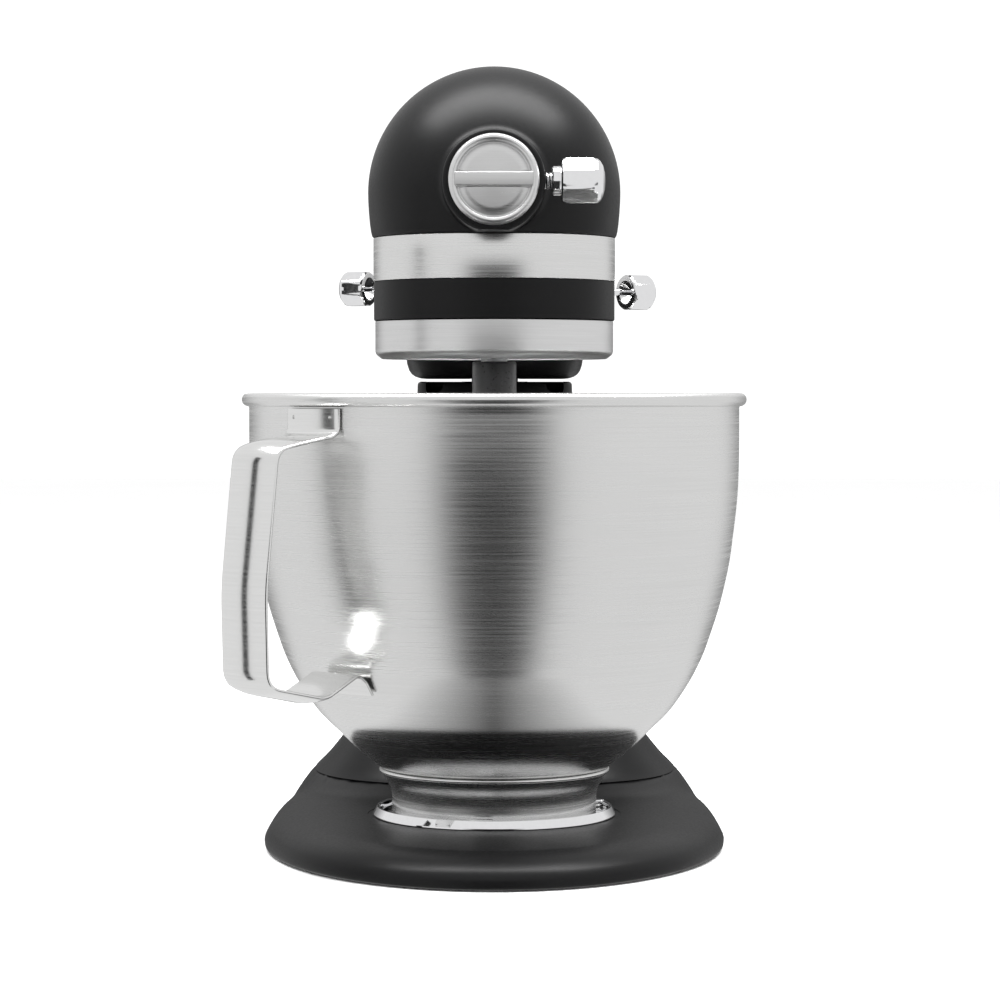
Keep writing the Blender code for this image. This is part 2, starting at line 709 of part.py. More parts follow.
def make_drip_ring():
    profile = [
        (RING_R, RING_TOP),
        (RING_R, 225.4),
        (52.6, 221.6),
        (49.8, RING_BOTTOM),
        (48.8, 221.2),
        (50.6, 225.0),
        (51.0, RING_TOP),
    ]
    add_turned("drip_ring", profile, "head", SATIN, 36)


# ---------------------------------------------------------------- gears


def gear_outline(teeth, module, phase, inward=False):
    """Straight-sided teeth; inward gives those of an internal gear. A tooth lies at the phase."""
    pitch = teeth * module / 2
    step = math.tau / teeth
    up, down = (-0.8, 1.1) if inward else (0.8, -1.1)
    corners = ((-0.31, down), (-0.13, up), (0.13, up), (0.31, down))
    points = []
    for tooth in range(teeth):
        for share, reach in corners:
            a = phase + (tooth + share) * step
            radius = pitch + reach * module
            points.append((radius * math.cos(a), radius * math.sin(a)))
    return points


def add_gear(name, teeth, module, phase, bore, thickness, z, body, material, centre=(0, 0)):
    outlines = [gear_outline(teeth, module, phase), circle(bore, 12)]
    at = (centre[0], centre[1], z)
    return add_prism(name, outlines, thickness, body, material, at)


def bevel_mesh(teeth, partner, phase, bore, face, back):
    """A bevel gear about +Z whose pitch cone has its point at the origin, with its teeth below."""
    cone = math.atan2(teeth, partner)
    module = 2 * BEVEL_R / BEVEL_TEETH
    outer = teeth * module / 2 / math.sin(cone)
    step = math.tau / teeth
    corners = ((-0.31, -1.1), (-0.13, 0.8), (0.13, 0.8), (0.31, -1.1))

    def ring(distance):
        scale = distance / outer
        points = []
        for tooth in range(teeth):
            for share, reach in corners:
                a = phase + (tooth + share) * step
                high = reach * module * scale
                radius = distance * math.sin(cone) + high * math.cos(cone)
                z = -distance * math.cos(cone) + high * math.sin(cone)
                points.append((radius * math.cos(a), radius * math.sin(a), z))
        return points

    def plain(radius, z):
        count = 4 * teeth
        turns = [phase + (i // 4 + corners[i % 4][0]) * step for i in range(count)]
        return [(radius * math.cos(a), radius * math.sin(a), z) for a in turns]

    root = outer * math.sin(cone) - 1.1 * module * math.cos(cone)
    low = -outer * math.cos(cone) - back
    inner = outer - face
    top = -inner * math.cos(cone) - 1.1 * module * inner / outer * math.sin(cone) - 0.2
    rings = [plain(bore, top), ring(inner), ring(outer), plain(root, low), plain(bore, low)]
    rings.append(rings[0])
    return loft("bevel", rings, caps=False)


def make_planetary_gears():
    down = math.pi / 2
    ring = [circle(43.0, 28), gear_outline(RING_TEETH, PLANET_MODULE, down, inward=True)]
    add_prism("ring_gear", ring, 6.0, "head", MACHINED, (0, 0, RING_GEAR_Z))
    phase = down + math.pi / PLANET_TEETH
    add_gear("planet_pinion", PLANET_TEETH, PLANET_MODULE, phase, 6.3, 6.0, RING_GEAR_Z, "beater", MACHINED,
             (0, ORBIT))


def make_drive_gears():
    towards = math.atan2(WHEEL_Y, WHEEL_X)
    add_gear("centre_gear", SPUR_TEETH, SPUR_MODULE, towards, 5.3, 7.0, SPUR_Z, "planetary", MACHINED)
    back = towards + math.pi + math.pi / PINION_TEETH
    centre = (WHEEL_X, WHEEL_Y)
    add_gear("wheel_pinion", PINION_TEETH, SPUR_MODULE, back, 3.3, 8.0, SPUR_Z, "wheel", MACHINED, centre)
    add_gear("worm_wheel", WHEEL_TEETH, WHEEL_MODULE, 0.0, 3.3, 4.0, MOTOR_Z, "wheel", BRONZE, centre)
    shaft = [(0, 290.0), (3.0, 290.0), (3.0, 256.0), (0, 256.0)]
    add_turned("wheel_shaft", shaft, "wheel", MACHINED, 16, (*centre, 0))
    bevel = bevel_mesh(BEVEL_TEETH, HUB_TEETH, -math.pi / 2, 5.3, 6.0, 2.6)
    add_part("bevel_gear", bevel, "planetary", MACHINED, (0, 0, HUB_Z))
    shaft = [(0, 290.0), (5.0, 290.0), (5.0, 222.6), (0, 222.6)]
    add_turned("centre_shaft", shaft, "planetary", MACHINED, 20)
    bushing = [(8.9, 246.0), (8.9, 238.8), (5.4, 238.8), (5.4, 246.0)]
    add_turned("centre_bushing", bushing, "head", BRONZE, 24)


def make_hub_gear():
    """Bevel gear that faces rearwards, with a square drive socket in its front."""
    towards = Matrix.Rotation(math.pi / 2, 4, "X")
    turn = towards.inverted()
    mesh = bevel_mesh(HUB_TEETH, BEVEL_TEETH, math.pi / HUB_TEETH - math.pi / 2, 1.5, 6.0, 1.5)
    gear = add_part("hub_gear", mesh, "hub_drive", MACHINED, (0, 0, HUB_Z), turn)
    join(gear, cylinder(8.0, -41.0, -20.5, 24), "hub_drive", (0, 0, HUB_Z), ALONG_Y)
    cut(gear, box((8.4, 20.0, 8.4), (0, -36.0, HUB_Z)), "hub_drive")


def worm_thread(turns, start):
    """The raised thread of the worm: a right-hand helix along +Z that begins at start."""
    pitch = math.pi * WHEEL_MODULE
    steps = 12
    rings = []
    for i in range(int(turns * steps) + 1):
        a = math.tau * i / steps
        z = start + pitch * i / steps
        ring = []
        for radius, offset in ((3.2, -1.25), (6.0, -0.5), (6.0, 0.5), (3.2, 1.25)):
            ring.append((radius * math.cos(a), radius * math.sin(a), z + offset))
        rings.append(ring)
    return loft("thread", rings)


def make_motor():
    shaft = [(0, 160.0), (3.0, 160.0), (3.0, 24.0), (0, 24.0)]
    centre = (0, 0, MOTOR_Z)
    add_turned("armature_shaft", shaft, "armature", MACHINED, 16, centre, ALONG_Y)
    pitch = math.pi * WHEEL_MODULE
    # A gap of the thread faces the wheel where the wheel has a tooth, on its +X side
    half_turn = ALONG_Y @ Matrix.Rotation(math.pi, 4, "Z")
    thread = worm_thread(3.0, WHEEL_Y - 1.5 * pitch)
    worm = add_part("worm", thread, "armature", MACHINED, centre, half_turn)
    join(worm, cylinder(3.75, WHEEL_Y - 9.5, WHEEL_Y + 10.5, 14), "armature", centre, ALONG_Y)
    cut(worm, cylinder(3.3, 10.0, 60.0, 16), "armature", centre, ALONG_Y)
    slots = 10
    core = []
    for k in range(slots):
        for share, radius in ((-0.32, 20.5), (0.32, 20.5), (0.36, 14.0), (0.64, 14.0)):
            a = math.tau * (k + share) / slots
            core.append((radius * math.cos(a), radius * math.sin(a)))
    at = (0, CORE_Y, MOTOR_Z)
    add_prism("armature_core", [core, circle(3.3, 16)], 34.0, "armature", LAMINATED, at, ALONG_Y)
    commutator = [(10.5, 124.0), (10.5, 110.0), (3.3, 110.0), (3.3, 124.0)]
    add_turned("commutator", commutator, "armature", BRONZE, 24, centre, ALONG_Y)
    blades = []
    for k in range(9):
        for share, radius in ((-0.18, 25.5), (0.12, 25.5), (0.3, 9.0), (0.55, 9.0)):
            a = math.tau * (k + share) / 9
            blades.append((radius * math.cos(a), radius * math.sin(a)))
    fan_at = (0, 136, MOTOR_Z)
    add_prism("cooling_fan", [blades, circle(3.3, 16)], 8.0, "armature", PLASTIC, fan_at, ALONG_Y)
    bore = []
    for k in range(20):
        a = math.tau * k / 20
        radius = 22.0 if abs(math.sin(a)) < 0.8 else 27.0
        bore.append((radius * math.cos(a), radius * math.sin(a)))
    add_prism("stator", [circle(33.0, 24), bore], 38.0, "head", LAMINATED, at, ALONG_Y)


def make_motor_fittings():
    centre = (0, 0, MOTOR_Z)
    for name, low in (("front_bearing", 45.5), ("rear_bearing", 148.5)):
        ring = [(10.0, low + 6.0), (10.0, low), (3.4, low), (3.4, low + 6.0)]
        add_turned(name, ring, "head", MACHINED, 24, centre, ALONG_Y)
    turn = Matrix.Rotation(math.pi / 2, 4, "X")
    for name, y, half, low, high in (
        ("front_bracket", 48.5, 48.0, -16.0, 22.0),
        ("rear_bracket", 151.5, 40.0, -22.0, 24.0),
    ):
        outline = [(-half, low), (half, low), (half - 6, high), (6 - half, high)]
        add_prism(name, [outline, circle(10.3, 24)], 5.0, "head", PLASTIC, (0, y, MOTOR_Z), turn)
    for side, name in ((-1, "left"), (1, "right")):
        holder = box((17.0, 11.0, 9.0), (side * 20.0, 117.5, MOTOR_Z))
        add_part(f"brush_holder_{name}", holder, "head", PLASTIC)
        cap = [(0, 54.0), (5.6, 54.0), (7.0, 52.8), (7.0, 40.0), (0, 40.0)]
        turn = ALONG_X if side > 0 else ALONG_X.inverted()
        add_turned(f"brush_cap_{name}", cap, "head", PLASTIC, 20, (0, BRUSH_Y, BRUSH_Z), turn)
    add_part("control_plate", box((48.0, 2.0, 44.0), (0, 168.0, 284.0)), "head", PLASTIC)
    screw = [(0, 213.4), (2.8, 213.4), (3.8, 212.0), (3.8, 210.1), (2.0, 210.1), (2.0, 192.0), (0, 192.0)]
    add_turned("cover_screw", screw, "head", CHROME, 12, (0, 0, COVER_SCREW_Z), ALONG_Y)


def make_planetary_hub():
    """Carrier disc under the head, with the bore that holds the agitator shaft off centre."""
    profile = [
        (0, 229.3),
        (44.0, 229.3),
        (47.6, 227.0),
        (47.8, 223.6),
        (46.0, 221.8),
        (0, 221.8),
    ]
    hub = add_turned("planetary_hub", profile, "planetary", SATIN, 32)
    cut(hub, cylinder(5.3, 222.3, 240.0, 20), "planetary")
    cut(hub, cylinder(6.35, 210.0, 240.0, 20), "planetary", (0, ORBIT, 0))


def beater_half():
    """Right half of the flat beater's outline, from the bottom to the collar."""
    lower = [(0, 40.5), (18, 41.5), (32, 47), (43, 56.5), (52, 69), (60, 86), (64, 106)]
    return [*lower, (62, 130), (53, 152), (38, 170), (22, 183), (10.6, 191), (9.6, 200)]


def make_beater():
    right = beater_half()
    outline = right + [(-x, z) for x, z in right[:0:-1]]
    low = [(6, 50), (18, 51), (28, 56), (37, 64), (44, 74), (48.5, 84.5), (6, 76)]
    high = [(6, 87.5), (51.5, 98), (53.5, 108), (52, 128), (44, 146), (31, 162), (18, 174), (6, 180)]
    holes = []
    for window in (low, high):
        holes.append(window)
        holes.append([(-x, z) for x, z in window])
    turn = Matrix.Rotation(math.pi / 2, 4, "X")
    curve = flat_curve("flat_beater", [outline, *holes], 8.5)
    beater = add_part("flat_beater", solid_from(curve, turn, (0, ORBIT, 0)), "beater", COATED)
    join(beater, cylinder(10.2, 186.0, 219.4, 24), "beater", (0, ORBIT, 0))
    cut(beater, cylinder(6.4, 189.0, 230.0, 20), "beater", (0, ORBIT, 0))
    profile = [(0, 236.8), (6.0, 236.8), (6.0, 191.0), (5.0, 190.0), (0, 190.0)]
    add_turned("agitator_shaft", profile, "beater", MACHINED, 20, (0, ORBIT, 0))


def solid_from(curve, turn, at):
    """The mesh of a filled curve, turned and moved into the mixer frame, with its caps welded."""
    obj = bpy.data.objects.new("outline", curve)
    bpy.context.scene.collection.objects.link(obj)
    graph = bpy.context.evaluated_depsgraph_get()
    mesh = bpy.data.meshes.new_from_object(obj.evaluated_get(graph))
    bpy.data.objects.remove(obj)
    bm = bmesh.new()
    bm.from_mesh(mesh)
    bmesh.ops.remove_doubles(bm, verts=bm.verts, dist=1e-6)
    bmesh.ops.transform(bm, matrix=Matrix.Translation(Vector(at) * MM) @ turn, verts=bm.verts)
    bmesh.ops.recalc_face_normals(bm, faces=bm.faces)
    return finish_mesh(curve.name, bm)


# ---------------------------------------------------------------- hub cap, screw and levers


def faceted(profile, flat, count=16):
    """A knob turned about +Z, with eight flats: (radius, height, True where flats cut in)."""
    rings = []
    for radius, z, cut_in in profile:
        ring = []
        for i in range(count):
            a = math.tau * i / count
            off = (a + math.pi / 8) % (math.pi / 4) - math.pi / 8
            reach = min(radius, flat / math.cos(off)) if cut_in else radius
            ring.append((reach * math.cos(a), reach * math.sin(a), z))
        rings.append(ring)
    return loft("knob", rings)


def make_hub_cap():
    """Turned cap with a raised rim and a bar across its face."""
    profile = [
        (0, 8.0),
        (15.9, 7.0),
        (16.4, 8.8),
        (17.6, 9.0),
        (18.8, 8.6),
        (CAP_R, 7.4),
        (CAP_R, GAP),
        (HUB_BORE - 0.4, GAP),
        (HUB_BORE - 0.4, -12.0),
        (0, -12.0),
    ]
    turn = Matrix.Rotation(math.pi / 2, 4, "X")
    cap = add_turned("hub_cap", profile, "hub_cap", SATIN, 28, (0, HUB_FRONT, HUB_Z), turn)
    bar = [(-2.6, 8.95), (2.6, 8.95), (3.9, 6.0), (-3.9, 6.0)]
    rings = [[(x, HUB_FRONT - out, HUB_Z + z) for z, out in bar] for x in (-16.6, 16.6)]
    join(cap, loft("bar", rings), "hub_cap")


def make_hub_screw():
    at = (0, SCREW_Y, HUB_Z)
    rod = [(0, 27.5), (3.95, 27.5), (3.95, 15.6), (3.3, 15.0), (0, 15.0)]
    add_turned("hub_screw_rod", rod, "hub_screw", CHROME, 20, at, ALONG_X)
    knob = [(5.0, 24.5, False), (6.5, 25.2, False), (6.5, 28.6, False), (9.0, 28.6, True)]
    knob += [(10.5, 30.4, True), (10.5, 42.0, True), (9.4, 45.0, True)]
    knob += [(6.2, 47.0, False), (2.2, 47.8, False)]
    obj = add_part("hub_screw_knob", faceted(knob, 9.75), "hub_screw", CHROME, at, ALONG_X)
    cut(obj, cylinder(4.25, 20.0, 28.0, 20), "hub_screw", at, ALONG_X)


def make_lever(name, pivot, angle):
    """Rod from a pivot boss out through the case, with a short faceted knob on its end."""
    turn = Matrix.Rotation(angle, 4, "Z") @ ALONG_X
    rod = [(0, LEVER_REACH + 4.0), (1.6, LEVER_REACH + 4.0), (1.6, 2.0), (0, 2.0)]
    body = f"{name}_lever"
    piece = add_turned(f"{name}_lever_rod", rod, body, CHROME, 16, pivot, turn)
    join(piece, cylinder(4.5, -2.2, 2.2, 20), body, pivot)
    knob = [(6.4, 0.0, False), (8.0, 0.6, True), (8.8, 2.2, True), (8.8, 10.0, True)]
    knob += [(7.9, 12.4, True), (5.2, 14.0, False), (1.8, 14.6, False)]
    end = turn @ Matrix.Translation((0, 0, LEVER_REACH * MM))
    obj = add_part(f"{name}_lever_knob", faceted(knob, 8.2), body, CHROME, pivot, end)
    cut(obj, cylinder(5.6, -1.0, 2.6, 24, 3.4), body, pivot, end)
    cut(obj, cylinder(1.9, 0.0, 6.0, 16), body, pivot, end)


make_base_plate()
make_pedestal()
make_base_fittings()
make_clamp_plate()
make_bowl_shell()
make_bowl_foot()
make_bowl_handle()
make_motor_housing()
make_lower_gearcase()
make_trim_band()
make_rear_cover()
make_drip_ring()
make_planetary_gears()
make_drive_gears()
make_hub_gear()
make_motor()
make_motor_fittings()
make_planetary_hub()
make_beater()
make_hub_cap()
make_hub_screw()
make_lever("speed", SPEED_PIVOT, SPEED_ANGLE)
make_lever("lock", LOCK_PIVOT, LOCK_ANGLE)
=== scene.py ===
"""Looks of the tilt-head stand mixer: fine surfaces, finishes, lights and camera round its CAD frame.

Sizes are in millimetres in the mixer frame: the origin is on the table below the bowl's axis, +X
is to the right seen from the front, +Y runs to the rear and +Z is up. place() turns a point of
that frame into metres in the row frame.
"""

import json
import math

import bmesh
import bpy
from mathutils import Matrix, Vector


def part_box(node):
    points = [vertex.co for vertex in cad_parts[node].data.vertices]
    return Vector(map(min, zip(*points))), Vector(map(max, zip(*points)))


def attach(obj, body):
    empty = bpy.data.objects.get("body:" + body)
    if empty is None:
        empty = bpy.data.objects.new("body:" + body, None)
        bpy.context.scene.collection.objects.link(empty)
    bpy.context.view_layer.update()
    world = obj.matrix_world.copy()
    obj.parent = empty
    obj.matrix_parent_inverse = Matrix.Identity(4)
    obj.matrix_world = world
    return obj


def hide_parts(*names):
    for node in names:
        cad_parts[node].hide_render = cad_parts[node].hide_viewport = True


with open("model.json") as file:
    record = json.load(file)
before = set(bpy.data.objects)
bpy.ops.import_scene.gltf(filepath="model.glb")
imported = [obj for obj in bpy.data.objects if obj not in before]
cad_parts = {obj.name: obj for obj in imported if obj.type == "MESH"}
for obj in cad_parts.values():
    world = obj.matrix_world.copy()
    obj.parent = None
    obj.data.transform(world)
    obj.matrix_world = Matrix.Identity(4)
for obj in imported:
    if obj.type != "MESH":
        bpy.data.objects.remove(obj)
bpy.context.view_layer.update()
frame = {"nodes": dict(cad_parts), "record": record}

MM = 0.001


def middle_of(node):
    low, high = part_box(node)
    return (low + high) / 2 / MM


AXIS_Y = middle_of("drip_ring").y

# Head
HEAD_R, HEAD_Z, HEAD_TOP = 57.0, 295.0, 352.0
SEAM_Y, REAR_Y = 184.0, 222.0
HOUSING_BOTTOM = 274.9
BAND_TOP, BAND_BOTTOM = 274.6, 255.1
CASE_BOTTOM = 238.0
LOBE_HALF, LOBE_BOTTOM, LOBE_R = 43.0, 212.0, 20.0
HINGE_Y, HINGE_Z = 160.0, 232.0
RING_R, RING_TOP, RING_BOTTOM = 53.8, 237.3, 220.0
NECK_HALF, NECK_R = 11.5, 15.0
HUB_Z, HUB_BORE, HUB_R, HUB_FRONT = 296.0, 14.5, 22.2, -75.0
SCREW_Y = -68.0
CAP_R = 19.4
BRUSH_Y, BRUSH_Z, BRUSH_R = 118.0, 286.0, 7.0
COVER_SCREW_Z = 306.0
SHELL_WALL, COVER_WALL = 3.0, 2.5
ORBIT = 24.0  # of the beater's shaft round the bowl's axis

# Base, pedestal and bowl
BASE_HALF, BASE_FRONT, BASE_REAR = 104.0, 138.0, 208.0
BASE_TOP, BASE_UNDER, BASE_HOLLOW = 14.2, 0.6, 9.5
BASE_SEAM, JOINT_GAP = 20.0, 0.06
SEAM_GAP = 0.3
FOOT_R, FOOT_TOP = 11.0, 2.2
PEDESTAL_TOP = 210.6
CLAMP_Z, CLAMP_R = 13.8, 55.2
LUG_ANGLES = [math.radians(22 + 120 * k) for k in range(3)]
BOWL_WALL = 1.2
HANDLE_AZIMUTH = math.radians(226.0)
FEET = [middle_of(f"rubber_foot_{k}") for k in range(1, 6)]
BASE_SCREWS = [middle_of(f"pedestal_screw_{k}") for k in range(1, 5)]

# Levers: pivot and the angle of the rod behind the X axis
LEVER_REACH = 34.0
LEVERS = {
    "speed": ((33.8, 56.5, 252.9), math.radians(33.0)),
    "lock": ((-29.8, 85.6, 255.4), math.radians(155.0)),
}
# The slot that each lever's rod swings in: length along Y, then the middle's x and y
LEVER_SLOTS = {"speed": (40, 62, 64), "lock": (32, -58, 96)}

# Light and camera
STUDIO_LIGHT, GLOSS_LIGHT = 1.15, 0.82  # of the white studio, and as it shows in reflections
NO_FADE = (5.0, 6.0)  # metres, past any card's edge
CAMERA_BACK, CAMERA_UP, CAMERA_SIDE = 1390.0, 205.0, 2.6
CAMERA_DOWN = math.radians(2.0)
FOCAL, SENSOR = 110.4, 36.0

ALONG_X = Matrix.Rotation(math.pi / 2, 4, "Y")
ALONG_Y = Matrix.Rotation(-math.pi / 2, 4, "X")
FORWARD = Matrix.Rotation(math.pi / 2, 4, "X")
UPRIGHT = Matrix.Identity(4)


# ---------------------------------------------------------------- finishes


def nodes_for(name, colour, metallic):
    made = bpy.data.materials.new(name)
    made.use_nodes = True
    tree = made.node_tree
    shader = tree.nodes["Principled BSDF"]
    shader.inputs["Metallic"].default_value = metallic
    made.diffuse_color = (*colour, 1.0)
    return made, tree, shader


def add_noise(tree, scale, stretch, detail):
    """Noise in the piece's own space, drawn out along the axes with the smaller stretch."""
    coords = tree.nodes.new("ShaderNodeTexCoord")
    mapping = tree.nodes.new("ShaderNodeMapping")
    mapping.inputs["Scale"].default_value = stretch
    tree.links.new(coords.outputs["Object"], mapping.inputs["Vector"])
    noise = tree.nodes.new("ShaderNodeTexNoise")
    noise.inputs["Scale"].default_value = scale
    noise.inputs["Detail"].default_value = detail
    tree.links.new(mapping.outputs["Vector"], noise.inputs["Vector"])
    return noise.outputs["Fac"]


def add_range(tree, value, low, high, start=0.3, end=0.7):
    ranger = tree.nodes.new("ShaderNodeMapRange")
    ranger.inputs["From Min"].default_value = start
    ranger.inputs["From Max"].default_value = end
    ranger.inputs["To Min"].default_value = low
    ranger.inputs["To Max"].default_value = high
    tree.links.new(value, ranger.inputs["Value"])
    return ranger.outputs["Result"]


def add_mix(tree, value, dark, light):
    mix = tree.nodes.new("ShaderNodeMix")
    mix.data_type = "RGBA"
    mix.inputs["A"].default_value = (*dark, 1.0)
    mix.inputs["B"].default_value = (*light, 1.0)
    tree.links.new(value, mix.inputs["Factor"])
    return mix.outputs["Result"]


def finish(name, colour, metallic, rough, scale, stretch=(1, 1, 1), bump=0.0, tint=0.08, wear=0.0,
           coat=0.0, anisotropic=0.0, specular=0.5):
    """One finish: a grain for roughness and relief, and slow patches for colour and wear."""
    made, tree, shader = nodes_for(name, colour, metallic)
    grain = add_noise(tree, scale, stretch, 5.0)
    patches = add_noise(tree, 14.0, (1, 1, 1), 3.0)
    shares = tree.nodes.new("ShaderNodeMath")
    shares.operation = "ADD"
    tree.links.new(add_range(tree, grain, 0.0, 0.7), shares.inputs[0])
    tree.links.new(add_range(tree, patches, 0.0, 0.3), shares.inputs[1])
    dark = [c * (1 - tint) for c in colour]
    light = [min(1.0, c * (1 + tint)) for c in colour]
    tree.links.new(add_mix(tree, shares.outputs[0], dark, light), shader.inputs["Base Color"])
    total = tree.nodes.new("ShaderNodeMath")
    total.operation = "ADD"
    tree.links.new(add_range(tree, grain, *rough), total.inputs[0])
    tree.links.new(add_range(tree, patches, 0.0, wear, 0.4, 0.8), total.inputs[1])
    tree.links.new(total.outputs[0], shader.inputs["Roughness"])
    if bump:
        relief = tree.nodes.new("ShaderNodeBump")
        relief.inputs["Strength"].default_value = 1.0
        relief.inputs["Distance"].default_value = bump * MM
        tree.links.new(grain, relief.inputs["Height"])
        tree.links.new(relief.outputs["Normal"], shader.inputs["Normal"])
    shader.inputs["Specular IOR Level"].default_value = specular
    shader.inputs["Coat Weight"].default_value = coat
    shader.inputs["Coat Roughness"].default_value = 0.2
    if anisotropic:
        shader.inputs["Anisotropic"].default_value = anisotropic
        tangent = tree.nodes.new("ShaderNodeTangent")
        tangent.direction_type = "RADIAL"
        tangent.axis = "Z"
        tree.links.new(tangent.outputs["Tangent"], shader.inputs["Tangent"])
    return made


ROUND = (14, 14, 1400)  # lines that run round the vertical axis
STRAP = finish("drawn_steel", (0.82, 0.82, 0.815), 1.0, (0.12, 0.18), 1.0, ROUND, bump=0.001, tint=0.04)
FINISHES = {
    "black_enamel": finish("matte_black_enamel", (0.006, 0.006, 0.0063), 0.0, (0.32, 0.4), 900.0,
                           bump=0.01, tint=0.12, wear=0.04, specular=0.14),
    "brushed_steel": finish("brushed_steel", (0.78, 0.78, 0.775), 1.0, (0.2, 0.3), 1.0, ROUND,
                            bump=0.002, tint=0.05, anisotropic=0.6),
    "satin_metal": finish("satin_metal", (0.72, 0.72, 0.72), 1.0, (0.26, 0.36), 1.0, (30, 30, 1600),
                          bump=0.004, tint=0.05, wear=0.04),
    "chrome": finish("polished_chrome", (0.88, 0.88, 0.89), 1.0, (0.04, 0.08), 500.0, tint=0.02,
                     wear=0.05),
    "rubber": finish("moulded_rubber", (0.022, 0.022, 0.022), 0.0, (0.65, 0.85), 1500.0, bump=0.03,
                     tint=0.15),
    "black_plastic": finish("moulded_plastic", (0.02, 0.02, 0.021), 0.0, (0.38, 0.5), 1200.0,
                            bump=0.015, tint=0.1),
    "machined_steel": finish("machined_steel", (0.45, 0.45, 0.46), 1.0, (0.25, 0.42), 1.0,
                             (60, 60, 1500), bump=0.005, tint=0.1, wear=0.08),
    "bronze": finish("bronze", (0.5, 0.32, 0.14), 1.0, (0.3, 0.45), 700.0, bump=0.01, tint=0.12,
                     wear=0.1),
    "laminated_steel": finish("laminated_steel", (0.25, 0.25, 0.26), 1.0, (0.4, 0.6), 1.0,
                              (20, 2000, 20), bump=0.05, tint=0.2),
    "coated_aluminium": finish("dark_coating", (0.03, 0.03, 0.032), 0.0, (0.26, 0.36), 800.0,
                               bump=0.015, tint=0.1, coat=0.2),
}


# ---------------------------------------------------------------- mesh helpers


def place(x, y, z):
    return Vector((x, y + AXIS_Y, z)) * MM


def rounded(corners, steps=5, closed=False):
    """An outline through (a, b, radius) corners, with each corner rounded by its radius."""
    points = []
    ends = () if closed else (0, len(corners) - 1)
    for i, (a, b, radius) in enumerate(corners):
        here = Vector((a, b))
        before = Vector(corners[i - 1][:2]) - here
        after = Vector(corners[(i + 1) % len(corners)][:2]) - here
        if not radius or i in ends:
            points.append((a, b))
            continue
        if not before.length * after.length:
            points += [(a, b)] * (steps + 1)  # so that every section has as many points
            continue
        reach = radius / math.tan(before.angle(after) / 2)
        reach = min(reach, before.length * 0.49, after.length * 0.49)
        start = here + before.normalized() * reach
        end = here + after.normalized() * reach
        for k in range(steps + 1):
            t = k / steps
            points.append(tuple(start * (1 - t) ** 2 + here * 2 * t * (1 - t) + end * t * t))
    return points


def through(points, steps):
    """A smooth curve through the points, with steps pieces between each two of them."""
    padded = [points[0], *points, points[-1]]
    made = []
    for a, b, c, d in zip(padded, padded[1:], padded[2:], padded[3:]):
        for k in range(steps):
            t = k / steps
            made.append(
                tuple(
                    0.5 * (2 * q + (r - p) * t + (2 * p - 5 * q + 4 * r - s) * t**2
                           + (3 * q - p - 3 * r + s) * t**3)
                    for p, q, r, s in zip(a, b, c, d)
                )
            )
    return [*made, tuple(points[-1])]


def arc(centre, radius, start, end, count):
    angles = [math.radians(start + (end - start) * i / (count - 1)) for i in range(count)]
    return [(centre[0] + radius * math.cos(a), centre[1] + radius * math.sin(a)) for a in angles]


def surface(rings, closed=True, caps=False, end_cap=False):
    """A bmesh through rings of equally many points of the mixer frame."""
    bm = bmesh.new()
    grid = [[bm.verts.new(place(*p)) for p in ring] for ring in rings]
    size = len(rings[0])
    for one, two in zip(grid, grid[1:]):
        for i in range(size if closed else size - 1):
            j = (i + 1) % size
            bm.faces.new((one[i], one[j], two[j], two[i]))
    if caps:
        bm.faces.new(grid[0])
    if caps or end_cap:
        bm.faces.new(grid[-1])
    return settle(bm)


def settle(bm):
    bmesh.ops.remove_doubles(bm, verts=bm.verts, dist=1e-6)
    bmesh.ops.recalc_face_normals(bm, faces=bm.faces)
    return bm


def moved(points, at, turn):
    return [tuple(turn @ Vector(p) + Vector(at)) for p in points]


def lathe(profile, at=(0, 0, 0), turn=UPRIGHT, steps=96, ring_closed=False):
    """A turned body about +Z from (radius, height) points, then turned and moved."""
    rings = []
    for radius, z in [*profile, profile[0]] if ring_closed else profile:
        ring = []
        for i in range(steps):
            a = math.tau * i / steps
            ring.append((radius * math.cos(a), radius * math.sin(a), z))
        rings.append(moved(ring, at, turn))
    return surface(rings)


def rod(radius, start, end, at=(0, 0, 0), turn=UPRIGHT, steps=48):
    return lathe([(0, start), (radius, start), (radius, end), (0, end)], at, turn, steps)


def block(size, centre, bevel=0.0, turn=UPRIGHT):
    bm = bmesh.new()
    bmesh.ops.create_cube(bm, size=1.0)
    for vert in bm.verts:
        corner = [c * s + m for c, s, m in zip(vert.co, size, centre)]
        vert.co = place(*(turn @ Vector(corner)))
    if bevel:
        bmesh.ops.bevel(bm, geom=bm.edges[:], offset=bevel * MM, segments=3, affect="EDGES",
                        profile=0.5)
    return settle(bm)


def prism_x(outline, half, centre=0.0):
    """A closed prism with a (y, z) outline that reaches half each way along X."""
    return surface([[(centre + s * half, y, z) for y, z in outline] for s in (-1, 1)], caps=True)


def mesh_of(name, bm):
    mesh = bpy.data.meshes.new(name)
    bm.to_mesh(mesh)
    bm.free()
    return mesh


def smooth(obj, angle):
    obj.data.shade_smooth()
    obj.data.set_sharp_from_angle(angle=math.radians(angle))


def bake(obj):
    """Replaces the piece's mesh by what its modifiers make of it."""
    graph = bpy.context.evaluated_depsgraph_get()
    mesh = bpy.data.meshes.new_from_object(obj.evaluated_get(graph))
    obj.modifiers.clear()
    obj.data = mesh


